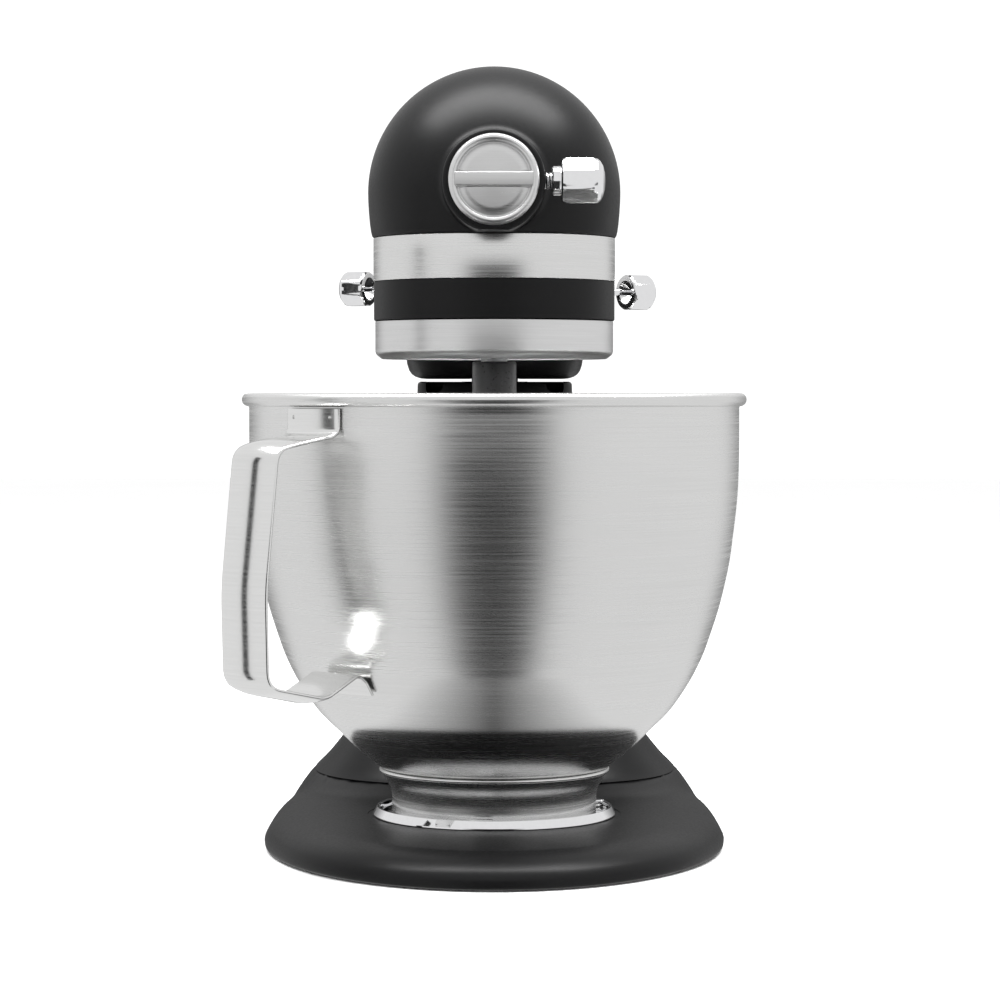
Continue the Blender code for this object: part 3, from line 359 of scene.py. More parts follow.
def carve(obj, tools, operation="DIFFERENCE"):
    """Cuts the tools from the piece, or joins them to it."""
    helpers = []
    for bm in tools:
        helper = bpy.data.objects.new("helper", mesh_of("helper", bm))
        bpy.context.scene.collection.objects.link(helper)
        modifier = obj.modifiers.new("carve", "BOOLEAN")
        modifier.object = helper
        modifier.operation = operation
        modifier.solver = "EXACT"
        helpers.append(helper)
    bake(obj)
    for helper in helpers:
        bpy.data.objects.remove(helper)


def bevel(obj, width, angle):
    modifier = obj.modifiers.new("bevel", "BEVEL")
    modifier.width = width * MM
    modifier.segments = 3
    modifier.limit_method = "ANGLE"
    modifier.angle_limit = math.radians(angle)
    modifier.use_clamp_overlap = True
    bake(obj)


def add(name, bm, slot):
    obj = bpy.data.objects.new(name, mesh_of(name, bm))
    obj.data.materials.append(FINISHES[slot])
    bpy.context.scene.collection.objects.link(obj)
    return obj


def settle_piece(obj, body, *nodes, angle=32.0):
    """Shades the piece, lets it move with its body and hides the CAD nodes that it stands for."""
    smooth(obj, angle)
    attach(obj, body)
    if nodes:
        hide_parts(*nodes)
    return obj


# ---------------------------------------------------------------- base and pedestal

# The base's edge from its top to its underside: (height, inset from the outline)
BASE_EDGE = ((BASE_TOP, 60.0), (BASE_TOP, 26.0), (13.9, 18.0), (12.9, 11.5), (11.2, 6.4), (8.6, 2.4),
             (5.6, 0.3), (3.2, 0.0), (1.4, 0.5), (BASE_UNDER, 1.8))
# The pedestal's levels: (height, half width, front, rear, squareness)
PEDESTAL_LEVELS = (
    (7.0, 98.5, 8.0, 207.5, 2.4),
    (11.0, 96.5, 26.0, 207.5, 2.4),
    (15.5, 93.0, 40.0, 207.0, 2.4),
    (20.0, 89.0, 52.0, 206.5, 2.4),
    (27.0, 82.0, 58.0, 205.0, 2.4),
    (36.0, 74.6, 66.0, 203.0, 2.5),
    (48.0, 65.5, 77.0, 200.5, 2.6),
    (62.0, 57.5, 88.0, 198.5, 2.8),
    (95.0, 47.0, 103.5, 193.0, 3.2),
    (145.0, 40.6, 113.0, 185.8, 3.6),
    (PEDESTAL_TOP, 38.4, 117.5, 171.0, 4.4),
)
FLARE = through(PEDESTAL_LEVELS[:5], 8)


def base_point(a, inset):
    c, s = math.cos(a), math.sin(a)
    power = 1.0 if s <= 0 else 2 / 3.0
    depth = BASE_FRONT if s <= 0 else BASE_REAR
    x = (BASE_HALF - inset) * math.copysign(abs(c) ** power, c)
    return x, (depth - inset) * math.copysign(abs(s) ** power, s)


def flare_height(x, y):
    """Height of the pedestal's foot above a point of the base, or None outside it."""
    found = None
    for z, half, front, rear, power in FLARE:
        if z > BASE_SEAM:
            break
        middle, deep = (front + rear) / 2, (rear - front) / 2
        if abs(x / half) ** power + abs((y - middle) / deep) ** power > 1:
            break
        found = z
    return found


def base_height(x, y, plain):
    """Smooth top of the base: its plain height, raised to the pedestal's foot."""
    dip, dip_r, dip_width = 0.5, 58, 9  # of the shallow ring round the clamp plate
    plain -= dip * math.exp(-(((math.hypot(x, y) - dip_r) / dip_width) ** 2))
    raised = flare_height(x, y)
    if raised is None:
        return plain
    blend = 1.1
    mixed = blend * math.log(math.exp(plain / blend) + math.exp(raised / blend))
    return min(mixed, BASE_SEAM - JOINT_GAP)


def make_base():
    turns = [math.tau * i / 240 for i in range(240)]
    edge_steps = 5
    top = [(BASE_TOP, inset) for inset in (98.0, 90.0, 80.0, 72.0, 66.0)]
    blended = len(top) + 6 * edge_steps  # rings on the upper side, which the pedestal's foot raises
    underside = [(BASE_UNDER, 30.0), (BASE_HOLLOW, 31.0)]
    rings = []
    for z, inset in [*top, *through(BASE_EDGE, edge_steps), *underside]:
        ring = [(*base_point(a, inset), z) for a in turns]
        if len(rings) < blended:
            ring = [(x, y, base_height(x, y, z)) for x, y, z in ring]
        rings.append(ring)
    obj = add("base_casting", surface(rings, caps=True), "black_enamel")
    tools = [rod(CLAMP_R + 2.3, CLAMP_Z - 0.3, 40.0, steps=128)]
    for foot in FEET:
        tools.append(rod(FOOT_R + 0.5, -1.0, FOOT_TOP + 0.3, (foot.x, foot.y - AXIS_Y, 0)))
    for screw in BASE_SCREWS:
        at = (screw.x, screw.y - AXIS_Y, 0)
        tools += [rod(6.2, -1.0, 9.4, at), rod(2.9, 5.0, 25.0, at)]
    carve(obj, tools)
    settle_piece(obj, "base", "base_plate", angle=40)


def level_ring(z, half, front, rear, power, inset=0.0, count=112):
    middle, deep = (front + rear) / 2, (rear - front) / 2 - inset
    ring = []
    for i in range(count):
        a = math.tau * i / count
        c, s = math.cos(a), math.sin(a)
        x = (half - inset) * math.copysign(abs(c) ** (2 / power), c)
        ring.append((x, middle + deep * math.copysign(abs(s) ** (2 / power), s), z))
    return ring


def make_pedestal():
    levels = through(PEDESTAL_LEVELS, 7)
    levels = [level for level in levels if level[0] > BASE_SEAM]
    start = (BASE_SEAM - 0.02, *PEDESTAL_LEVELS[3][1:])
    rings = [level_ring(*level) for level in [start, *levels[:-1]]]
    for drop, inset in ((1.4, 0), (0.5, 0.4), (0, 1.4)):
        rings.append(level_ring(PEDESTAL_TOP - drop, *PEDESTAL_LEVELS[-1][1:], inset))
    obj = add("pedestal_casting", surface(rings, caps=True), "black_enamel")
    wall = 4.5
    hollow = [level_ring(*level, wall) for level in levels[12:-8:4]]
    neck = [(126.0, 190.0, 0), (130.0, 208.0, 6), (144.0, 226.0, 6)]
    neck += [(y, z, 0) for y, z in arc((HINGE_Y, HINGE_Z), NECK_R, 165, 0, 24)]
    neck += [(173.5, 214.0, 4), (168.0, 190.0, 0)]
    carve(obj, [surface(hollow, caps=True)])
    pockets = [block((19.4, 30.0, 26.0), (side * 24.3, 133.5, 216.8), 3.0) for side in (-1, 1)]
    carve(obj, pockets)
    fin = bpy.data.objects.new("fin", mesh_of("fin", prism_x(rounded(neck), NECK_HALF)))
    bpy.context.scene.collection.objects.link(fin)
    bevel(fin, 1.8, 60)
    bm = bmesh.new()
    bm.from_mesh(fin.data)
    bpy.data.objects.remove(fin)
    carve(obj, [bm], "UNION")
    carve(obj, [rod(4.3, -30, 30, (0, HINGE_Y, HINGE_Z), ALONG_X), rod(3.3, 224, 260, (0, 151.5, 0)),
                rod(5.3, 170, 230, (0, 0, 44), ALONG_Y)])
    settle_piece(obj, "base", "pedestal", angle=40)


def make_feet():
    profile = rounded([(0, FOOT_TOP, 0), (FOOT_R, FOOT_TOP, 0.4), (FOOT_R, 0, 0.8), (8, 0, 0.3),
                       (7.4, 0.7, 0.3), (0, 0.7, 0)])
    for number, foot in enumerate(FEET, 1):
        obj = add(f"foot_pad_{number}", lathe(profile, (foot.x, foot.y - AXIS_Y, 0), steps=64), "rubber")
        settle_piece(obj, "base", f"rubber_foot_{number}")


def make_clamp_plate():
    profile = rounded(
        [(0, CLAMP_Z + 1, 0), (51.0, CLAMP_Z + 1, 0.6), (51.9, 17.3, 0.4), (53.4, 17.75, 0.35),
         (55.1, 14.4, 0.3), (CLAMP_R, CLAMP_Z, 0.1), (0, CLAMP_Z, 0)]
    )
    obj = add("bowl_clamp_ring", lathe(profile, steps=160), "chrome")
    settle_piece(obj, "base", "bowl_clamp_plate", angle=25)
    hook = [(46.9, 16.5), (51.35, 16.5), (51.35, 14.6), (52.65, 14.6), (52.65, 17.8), (46.9, 17.8)]
    hook_sides = (-3.8, 6.2)
    for number, angle in enumerate(LUG_ANGLES, 1):
        turn = Matrix.Rotation(angle, 4, "Z")
        rings = [moved([(x, y, z) for x, z in hook], (0, 0, 0), turn) for y in hook_sides]
        clip = add(f"bowl_clamp_clip_{number}", surface(rings, caps=True), "chrome")
        bevel(clip, 0.35, 60)
        settle_piece(clip, "base")


# ---------------------------------------------------------------- bowl

# The wall's outer side from the foot to the bead: (radius, height)
BOWL_WALL_POINTS = (
    (48.0, 33.6), (52.2, 36.2), (62.5, 44.8), (67.8, 49.8), (72.0, 53.9), (77.4, 59.1), (82.0, 64.6),
    (89.0, 75.4), (94.4, 86.3), (98.3, 97.2), (101.7, 108.0), (104.4, 118.9), (106.6, 129.8),
    (108.0, 140.6), (109.3, 151.4), (110.2, 162.2), (110.6, 173.0), (110.7, 184.0), (110.7, 198.4),
)


def make_bowl():
    outer = through(BOWL_WALL_POINTS, 4)
    bead = arc((111.0, 202.0), 3.0, -92, 196, 26)
    inner = [(r - BOWL_WALL, z + 0.4) for r, z in reversed(outer)][3:]
    profile = [(0, 33.6), *outer, *bead, *inner, (0, 35.0)]
    obj = add("bowl_body", lathe(profile, steps=224), "brushed_steel")
    settle_piece(obj, "bowl", "bowl_shell", angle=50)


def make_bowl_foot():
    waist = [(51.3, 33.4), (49.6, 30.6), (47.6, 27.2), (46.5, 23.5), (46.3, 19.0), (46.3, 15.2)]
    outside = through(waist, 4)
    wall = 1.3
    inside = [(r - wall, z) for r, z in outside[-2:0:-1]]
    bead = arc((51.4, 34.5), 0.85, 120, -110, 10)
    profile = [*bead, *outside, (45.0, 15.1), *inside, (49.6, 33.4)]
    obj = add("bowl_foot_ring", lathe(profile, steps=160, ring_closed=True), "brushed_steel")
    settle_piece(obj, "bowl", "bowl_foot", angle=40)
    for number, angle in enumerate(LUG_ANGLES, 1):
        lug = block((4.8, 11.0, 1.0), (47.9, 0, 15.65), 0.3, Matrix.Rotation(angle, 4, "Z"))
        settle_piece(add(f"bowl_foot_lug_{number}", lug, "brushed_steel"), "bowl")


def handle_path():
    """The strap's centre line in its own plane: (distance from the bowl's axis, height)."""
    corners = [
        (111.9, 198.2, 0), (111.9, 186.6, 4.5), (132.0, 183.2, 0), (143.6, 181.0, 13), (150.4, 122.0, 120),
        (149.4, 82.0, 9), (116.5, 75.2, 12), (98.6, 84.0, 3), (94.3, 80.8, 3), (90.6, 75.0, 0),
    ]
    return rounded(corners, 9)


def strap_section(path, index, half, crown, thick):
    before, after = path[max(0, index - 1)], path[min(len(path) - 1, index + 1)]
    along = Vector((after[0] - before[0], after[1] - before[1])).normalized()
    out = Vector((-along[1], along[0]))
    here = Vector(path[index])
    outline = rounded([(-half, thick / 2, 0.7), (half, thick / 2, 0.7), (half, -thick / 2, 0.7),
                       (-half, -thick / 2, 0.7)], 3, closed=True)
    lines = [-0.85, -0.7, -0.5, -0.3, -0.1, 0.1, 0.3, 0.5, 0.7, 0.85]
    face = [(s * half, thick / 2) for s in lines]
    back = [(s * half, -thick / 2) for s in reversed(lines)]
    quarter = len(outline) // 4
    ring = outline[:quarter] + face + outline[quarter:3 * quarter] + back + outline[3 * quarter:]
    points = []
    for side, depth in ring:
        off = side / half
        reach, z = here + out * (crown * (1 - off * off) + depth)
        points.append((reach, side, z))
    return points


def share(run, reach):
    return min(1.0, max(0.0, run / reach))


def make_handle():
    path = handle_path()
    pad_half, narrowing, crown, thick = 16.2, 2.0, 2.4, -1.5
    lengths = [0.0]
    for a, b in zip(path, path[1:]):
        lengths.append(lengths[-1] + math.dist(a, b))
    total = lengths[-1]
    rings = []
    for i, run in enumerate(lengths):
        into, out = share(run - 12.0, 9.0), share(total - 14.0 - run, 22.0)
        swell = into * into * (3 - 2 * into) * out * out * (3 - 2 * out)
        half = pad_half - narrowing * share(run - 10.0, 5.0)
        ring = strap_section(path, i, half, crown * swell, thick)
        flat = 1.0 - share(min(run - 8.0, total - 12.0 - run), 8.0)  # 1 where it lies on the bowl
        bent = []
        for reach, side, z in ring:
            curved = math.sqrt(max(0.0, reach * reach - side * side))
            bent.append((reach + (curved - reach) * flat, side, z))
        rings.append(bent)
    turn = Matrix.Rotation(HANDLE_AZIMUTH, 4, "Z")
    strap = surface([moved(r, (0, 0, 0), turn) for r in rings], caps=True)
    obj = add("bowl_strap", strap, "brushed_steel")
    obj.data.materials[0] = STRAP
    welds = ((112.9, -11.5, 194.6, 0), (112.9, 11.5, 194.6, 0), (94.1, 0.0, 78.6, 0.55))
    dimples = []
    for reach, side, z, tilt in welds:
        spot = turn @ Matrix.Translation((math.sqrt(reach**2 - side**2), side, z))
        spot = spot @ Matrix.Rotation(tilt, 4, "Y") @ ALONG_X
        dimples.append(lathe([(0, -1.0), (0.5, -1.0), (1.25, 0.6), (0, 0.6)], (0, 0, 0), spot, 20))
    carve(obj, dimples)
    settle_piece(obj, "bowl", "bowl_handle", angle=40)


# ---------------------------------------------------------------- head


def head_half(y):
    return HEAD_R if y <= 40 else HEAD_R - 9.0 * ((y - 40) / 110) ** 1.6


def head_top(y):
    return HEAD_TOP if y <= 20 else HEAD_TOP - 28.0 * ((y - 20) / 160) ** 2.2


def head_middle(y):
    return HEAD_Z if y <= 40 else HEAD_Z - 16.0 * (y - 40) / 182


def head_stations(extra=()):
    """Sections from the nose's tip to the rear: (angle round the nose, None) or (None, y)."""
    nose = [(math.radians(3.0 * a), None) for a in range(30)]
    along = sorted({*range(0, 184, 8), SEAM_Y - 0.2, *extra})
    return nose + [(None, float(y)) for y in along]


def plan_point(station, inset):
    angle, y = station
    if angle is None:
        return head_half(y) - inset, y
    radius = HEAD_R - inset
    return radius * math.sin(angle), -radius * math.cos(angle)


def housing_path(station, wall):
    """One section of the head's upper shell, moved inwards by wall."""
    half, y = plan_point(station, wall)
    outer = plan_point(station, 0.0)
    middle = HEAD_Z if station[1] is None else head_middle(y)
    rise = outer[0] if station[1] is None else head_top(y) - middle
    rise = max(0.0, rise - wall)
    low = middle - HOUSING_BOTTOM
    side = []
    for drop, inset in ((0.2, 0.1), (0.45, 0.4), (0.7, 0.85), (0.86, 1.3), (0.96, 1.8), (1.0, 2.5)):
        side.append((*plan_point(station, inset + wall), middle - drop * low))
    turns = [math.pi * k / 64 for k in range(65)]
    arch = [(half * math.cos(a), y, middle + rise * math.sin(a)) for a in turns]
    return [*side[::-1], *arch, *[(-x, py, z) for x, py, z in side]]


def make_housing():
    rings = [housing_path(s, 0.0) + housing_path(s, SHELL_WALL)[::-1] for s in head_stations()]
    obj = add("head_housing", surface(rings, end_cap=True), "black_enamel")
    fillet = 7.0
    far = HUB_R + fillet
    centre_y = -math.sqrt((HEAD_R + fillet) ** 2 - far**2)
    touch = 180 - math.degrees(math.asin(-centre_y / (HEAD_R + fillet)))
    boss = rounded([(0, 75.0, 0), (HUB_R, 75.0, 1.8), (HUB_R, 66.0, 0)])
    boss += [(r, -y) for r, y in arc((far, centre_y), fillet, 180, touch, 12)] + [(24.5, 46.0), (0, 46.0)]
    hub = (0, 0, HUB_Z)
    carve(obj, [lathe(boss, hub, FORWARD, 128), rod(18.0, -55.0, -30.0, hub, ALONG_Y)], "UNION")
    carve(obj, [
        block((140, 90, 40), (0, -60, HOUSING_BOTTOM - 20)),
        rod(HUB_BORE, -90, -38, hub, ALONG_Y, 96),
        rod(8.4, -45, -20, hub, ALONG_Y),
        rod(4.3, 8, 40, (0, SCREW_Y, HUB_Z), ALONG_X),
        rod(BRUSH_R + 0.4, -80, 80, (0, BRUSH_Y, BRUSH_Z), ALONG_X),
    ])
    settle_piece(obj, "head", "motor_housing", angle=30)


# The lower case's underside in front of the hinge: (y, height)
CASE_UNDERSIDE = (
    (40, 237.8), (58, 237.0), (70, 231.0), (90, 221.0), (108, 213.6), (120, LOBE_BOTTOM),
    (HINGE_Y, LOBE_BOTTOM),
)


def case_bottom(y):
    if y <= HINGE_Y:
        for (a, low), (b, high) in zip(CASE_UNDERSIDE, CASE_UNDERSIDE[1:]):
            if y <= b:
                return low + (high - low) * max(0.0, (y - a) / (b - a))
    behind = y - HINGE_Y
    if behind < 18:
        return HINGE_Z - math.sqrt(LOBE_R**2 - behind**2)
    return 223.3 + (y - 178) * 2.4


def case_path(station, wall):
    """One section of the head's lower case, moved inwards by wall."""
    depth = 0.4 if station[1] is None else max(0.4, CASE_BOTTOM - case_bottom(station[1]))
    deep = depth / (CASE_BOTTOM - LOBE_BOTTOM)
    wide, y = plan_point(station, 2.6 + wall)
    narrow = wide - max(0.0, wide - LOBE_HALF + wall) * min(1.0, deep * 1.4)
    low = CASE_BOTTOM - depth + wall
    half = []
    for inset, z in ((3.8, BAND_TOP), (3.8, BAND_BOTTOM - SEAM_GAP), (2.6, BAND_BOTTOM - SEAM_GAP)):
        half.append((*plan_point(station, inset + wall), z))
    corners = [(wide, CASE_BOTTOM + 8 + wall, 0), (wide, CASE_BOTTOM + wall, 1.2),
               (narrow, CASE_BOTTOM + wall - 0.3 * depth, 3.0 * deep + 0.05),
               (narrow, low, 10.5 * deep + 0.05), (0, low, 0)]
    half += [(x, y, z) for x, z in rounded(corners, 6)]
    return half + [(-x, py, z) for x, py, z in half[-2::-1]]


def make_case():
    extra = (*range(52, 124, 4), *range(160, 183, 2))
    rings = [case_path(s, 0.0) + case_path(s, SHELL_WALL)[::-1] for s in head_stations(extra)]
    obj = add("head_lower_case", surface(rings, end_cap=True), "black_enamel")
    slot = [(110.0, 196.0), (118.0, 209.0), (124.0, 215.0), (141.0, 236.0)]
    slot += arc((HINGE_Y, HINGE_Z), NECK_R + 1.3, 165, 30, 24)
    slot += [(181.0, 240.8), (190.0, 240.0), (200.0, 230.0), (200.0, 196.0)]
    tools = [prism_x(slot, NECK_HALF + 0.8), rod(9.2, 230, 250)]
    carve(obj, tools + [lever_slot(name) for name in LEVERS])
    settle_piece(obj, "head", "lower_gearcase", angle=35)
    outline = [(104, 216.5), (118, 213.5), (160, 213.5), (172, 217.5), (178, 228), (181, 240),
               (181, 252), (104, 252)]
    core = add("head_hinge_block", prism_x(outline, 16.0), "black_enamel")
    carve(core, [prism_x(slot, NECK_HALF + 0.8)])
    settle_piece(core, "head", angle=35)


def lever_slot(name):
    length, x, y = LEVER_SLOTS[name]
    height = LEVERS[name][0][2]
    return block((30, length, 4.6), (x, y, height), 1.8)


def make_band():
    inset, thick = 2.4, 1.1
    half = [(plan_point(s, inset), plan_point(s, inset + thick)) for s in head_stations()]
    strip = [((-o[0], o[1]), (-i[0], i[1])) for o, i in half[:0:-1]] + half
    rings = []
    for outer, inner in strip:
        out = Vector((outer[0] - inner[0], outer[1] - inner[1])).normalized()
        ring = []
        corners = [(thick, BAND_BOTTOM, 0.35), (thick, BAND_TOP, 0.35), (0, BAND_TOP, 0),
                   (0, BAND_BOTTOM, 0)]
        for depth, z in rounded(corners, 3, closed=True):
            ring.append((inner[0] + out[0] * depth, inner[1] + out[1] * depth, z))
        rings.append(ring)
    obj = add("head_trim_band", surface(rings, caps=True), "brushed_steel")
    carve(obj, [lever_slot("lock")])
    settle_piece(obj, "head", "trim_band", angle=35)


def make_rear_cover():
    start = SEAM_Y + 0.8

    def ring(degrees, wall):
        a = math.radians(degrees)
        size, y = math.cos(a), start + (REAR_Y - wall - start) * math.sin(a)
        points = []
        for k in range(96):
            turn = math.tau * k / 96
            rise = (head_top(start) - head_middle(start) if math.sin(turn) > 0 else 44.5) - wall
            half = (head_half(start) - wall) * size
            points.append((half * math.cos(turn), y, head_middle(y) + rise * size * math.sin(turn)))
        return points

    rings = [ring(degrees, 0.0) for degrees in range(0, 91, 5)]
    rings += [ring(degrees, COVER_WALL) for degrees in range(90, -1, -5)]
    obj = add("head_rear_cover", surface([*rings, rings[0]]), "black_enamel")
    tools = [block((36, 30, 2.8), (0, 222, 279 + 8 * k), 1.2) for k in range(-1, 3)]
    at = (0, 0, COVER_SCREW_Z)
    tools += [rod(2.3, 190, 240, at, ALONG_Y), rod(4.4, 209.8, 240, at, ALONG_Y)]
    carve(obj, tools)
    settle_piece(obj, "head", "rear_cover", angle=30)
    profile = rounded([(0, 213.4, 0), (2.4, 213.4, 0.4), (3.8, 212, 0.5), (3.8, 210.1, 0), (2, 210.1, 0),
                       (2, 192, 0), (0, 192, 0)])
    screw = add("cover_cross_screw", lathe(profile, at, ALONG_Y, 32), "chrome")
    carve(screw, [block(size, (0, 213.6, COVER_SCREW_Z)) for size in ((3.6, 2.4, 0.7), (0.7, 2.4, 3.6))])
    settle_piece(screw, "head", "cover_screw")


def make_drip_ring():
    profile = rounded(
        [(RING_R, RING_TOP, 0.5), (RING_R, 222.6, 3.2), (50.4, RING_BOTTOM, 1.6), (48.8, 221.0, 0.4),
         (50.6, 225.0, 1.5), (51.0, RING_TOP, 0.3)], 7, closed=True
    )
    obj = add("head_drip_ring", lathe(profile, steps=192, ring_closed=True), "satin_metal")
    settle_piece(obj, "head", "drip_ring", angle=40)


def make_brush_caps():
    for side, name in ((-1, "left"), (1, "right")):
        turn = Matrix.Rotation(side * math.pi / 2, 4, "Y")
        at = (0, BRUSH_Y, BRUSH_Z)
        profile = rounded([(0, 54, 0), (5.9, 54, 0.6), (BRUSH_R, 52.8, 0.5), (BRUSH_R, 40, 0), (0, 40, 0)])
        obj = add(f"brush_cap_cover_{name}", lathe(profile, at, turn, 64), "black_plastic")
        carve(obj, [block((3.0, 9.0, 1.5), (side * 54.0, BRUSH_Y, BRUSH_Z), 0.3)])
        settle_piece(obj, "head", f"brush_cap_{name}")


# ---------------------------------------------------------------- hub, levers and beater


def make_hub_cap():
    at = (0, HUB_FRONT, HUB_Z)
    plug_r = HUB_BORE - 0.4
    profile = rounded(
        [(0, 7.8, 0), (13.0, 7.3, 8), (15.9, 6.2, 0.5), (16.5, 8.5, 0.5), (17.6, 9.0, 0.8),
         (18.8, 8.6, 0.6), (CAP_R, 7.2, 0.7), (CAP_R, 0.3, 0.3), (plug_r, 0.3, 0), (plug_r, -12.0, 0.6),
         (0, -12.0, 0)]
    )
    obj = add("hub_cap_turned", lathe(profile, at, FORWARD, 128), "satin_metal")
    outline = rounded([(-4.1, 6.0, 0), (-2.9, 8.95, 0.6), (2.9, 8.95, 0.6), (4.1, 6.0, 0)], 4)
    bar_half = 16.6
    rings = [[(x, HUB_FRONT - out, HUB_Z + z) for z, out in outline] for x in (-bar_half, bar_half)]
    carve(obj, [surface(rings, caps=True)], "UNION")
    settle_piece(obj, "hub_cap", "hub_cap", angle=28)


def make_thread(start, end, radius, pitch, depth, at, turn):
    """A threaded length of rod: its radius rises and falls along a helix."""
    steps, rings_per_turn = 48, 12
    count = int((end - start) / pitch * rings_per_turn)
    rings = [moved([(0, 0, start)] * steps, at, turn)]
    for i in range(count + 1):
        z = start + (end - start) * i / count
        ring = []
        for k in range(steps):
            phase = (z / pitch - k / steps) % 1.0
            reach = radius - abs(2 * phase - 1) * depth
            a = math.tau * k / steps
            ring.append((reach * math.cos(a), reach * math.sin(a), z))
        rings.append(moved(ring, at, turn))
    rings.append(moved([(0, 0, end)] * steps, at, turn))
    return surface(rings)


def knob_surface(profile, flat, at, turn):
    """A knob turned about +Z, with flats round it: (radius, height, share of the flats' depth)."""
    steps, flats = 160, 8
    rings = []
    for radius, z, cut in profile:
        ring = []
        for i in range(steps):
            a = math.tau * i / steps
            off = (a + math.pi / flats) % (math.tau / flats) - math.pi / flats
            reach = min(radius, flat / math.cos(off))
            reach = radius + (reach - radius) * cut
            ring.append((reach * math.cos(a), reach * math.sin(a), z))
        rings.append(moved(ring, at, turn))
    return surface(rings)


def make_hub_screw():
    at = (0, SCREW_Y, HUB_Z)
    thread = make_thread(15.0, 26.5, 3.95, 1.5, 0.55, at, ALONG_X)
    piece = add("hub_screw_thread", thread, "chrome")
    settle_piece(piece, "hub_screw", "hub_screw_rod", angle=60)
    profile = [
        (0.0, 24.6, 0), (4.6, 24.6, 0), (5.9, 24.9, 0), (6.5, 25.6, 0), (6.5, 28.2, 0), (6.6, 28.6, 0),
        (8.6, 28.9, 0.6), (9.8, 29.6, 1), (10.5, 31.0, 1), (10.5, 41.6, 1), (10.3, 43.0, 1),
        (9.7, 44.4, 1), (8.5, 45.8, 0.8), (6.6, 46.9, 0.3), (4.0, 47.6, 0), (1.6, 47.8, 0), (0.0, 47.8, 0),
    ]
    knob = add("hub_screw_grip", knob_surface(profile, 9.7, at, ALONG_X), "chrome")
    settle_piece(knob, "hub_screw", "hub_screw_knob", angle=14)


def make_levers():
    boss = rounded([(0, -2.2, 0), (4.5, -2.2, 0.5), (4.5, 2.2, 0.5), (0, 2.2, 0)])
    grip = [
        (0.0, 5.0, 0), (1.9, 5.0, 0), (1.9, 3.6, 0), (2.1, 3.4, 0), (5.1, 0.5, 0), (5.3, 0.2, 0),
        (5.6, 0.0, 0), (7.4, 0.0, 0), (7.9, 0.2, 0), (8.1, 0.5, 0), (8.5, 1.1, 1), (8.8, 2.0, 1),
        (8.8, 9.6, 1), (8.6, 11.0, 1), (7.9, 12.3, 0.9), (6.6, 13.4, 0.4), (4.6, 14.1, 0),
        (2.4, 14.5, 0), (0.0, 14.6, 0),
    ]
    for name, (pivot, angle) in LEVERS.items():
        turn = Matrix.Rotation(angle, 4, "Z") @ ALONG_X
        body = f"{name}_lever"
        piece = add(f"{name}_lever_arm", rod(1.6, 2.0, LEVER_REACH + 4, pivot, turn), "chrome")
        carve(piece, [lathe(boss, pivot, UPRIGHT, 64)], "UNION")
        settle_piece(piece, body, f"{name}_lever_rod")
        out = turn @ Matrix.Translation((0, 0, LEVER_REACH))
        knob = add(f"{name}_lever_grip", knob_surface(grip, 8.2, pivot, out), "chrome")
        settle_piece(knob, body, f"{name}_lever_knob", angle=14)


def make_planetary():
    at = (0, ORBIT, 0)
    profile = rounded([(0, 229.3, 0), (44, 229.3, 0.6), (47.8, 226.6, 1.5), (47.8, 222.8, 1.2),
                       (45.6, 221.8, 0.5), (38, 221.8, 0.4), (37.2, 222.4, 0.4), (30, 222.4, 0),
                       (0, 222.4, 0)])
    obj = add("planetary_carrier", lathe(profile, steps=128), "satin_metal")
    carve(obj, [rod(6.35, 210, 240, at)])
    settle_piece(obj, "planetary", "planetary_hub", angle=35)
    profile = rounded([(0, 236.8, 0), (6, 236.8, 0.4), (6, 191, 0), (5, 190, 0), (0, 190, 0)])
    obj = add("beater_shaft", lathe(profile, at, steps=64), "machined_steel")
    settle_piece(obj, "beater", "agitator_shaft")


def beater_outline():
    right = [(0, 40.5), (18, 41.5), (32, 47), (43, 56.5), (52, 69), (60, 86), (64, 106), (62, 130),
             (53, 152), (38, 170), (22, 183), (10.6, 191), (9.6, 200)]
    curve = through(right, 4)
    return curve + [(-x, z) for x, z in curve[:0:-1]]


def make_beater():
    def slab(outline, depth):
        return surface([[(x, ORBIT + s * depth, z) for x, z in outline] for s in (-1, 1)], caps=True)

    obj = add("flat_beater_cast", slab(beater_outline(), 4.25), "coated_aluminium")
    low = [(6, 51, 4), (18, 51.5, 8), (28, 56, 8), (37, 64, 8), (44, 74, 8), (48.5, 84.5, 3), (6, 76, 4)]
    high = [(6, 87.5, 4), (51.5, 98, 4), (53.5, 108, 8), (52, 128, 12), (44, 146, 12), (31, 162, 12),
            (18, 174, 10), (6, 180, 4)]
    tools = []
    for corners in (low, high):
        window = rounded(corners, 4, closed=True)
        tools += [slab(window, 8), slab([(-x, z) for x, z in window], 8)]
    carve(obj, tools)
    bevel(obj, 1.6, 50)
    collar = rounded([(0, 219.4, 0), (10.2, 219.4, 1.2), (10.2, 186, 2.0), (0, 186, 0)])
    at = (0, ORBIT, 0)
    carve(obj, [lathe(collar, at, steps=64)], "UNION")
    carve(obj, [rod(6.4, 189, 230, at)])
    settle_piece(obj, "beater", "flat_beater", angle=35)


# ---------------------------------------------------------------- carried-over nodes


def paint_frame():
    """Gives each CAD node that stays in sight the finish of its slot."""
    for entry in frame["record"]["subparts"]:
        node = frame["nodes"][entry["node"]]
        node.data.materials.clear()
        node.data.materials.append(FINISHES[entry["material_slot"]])


# ---------------------------------------------------------------- stage, light and camera


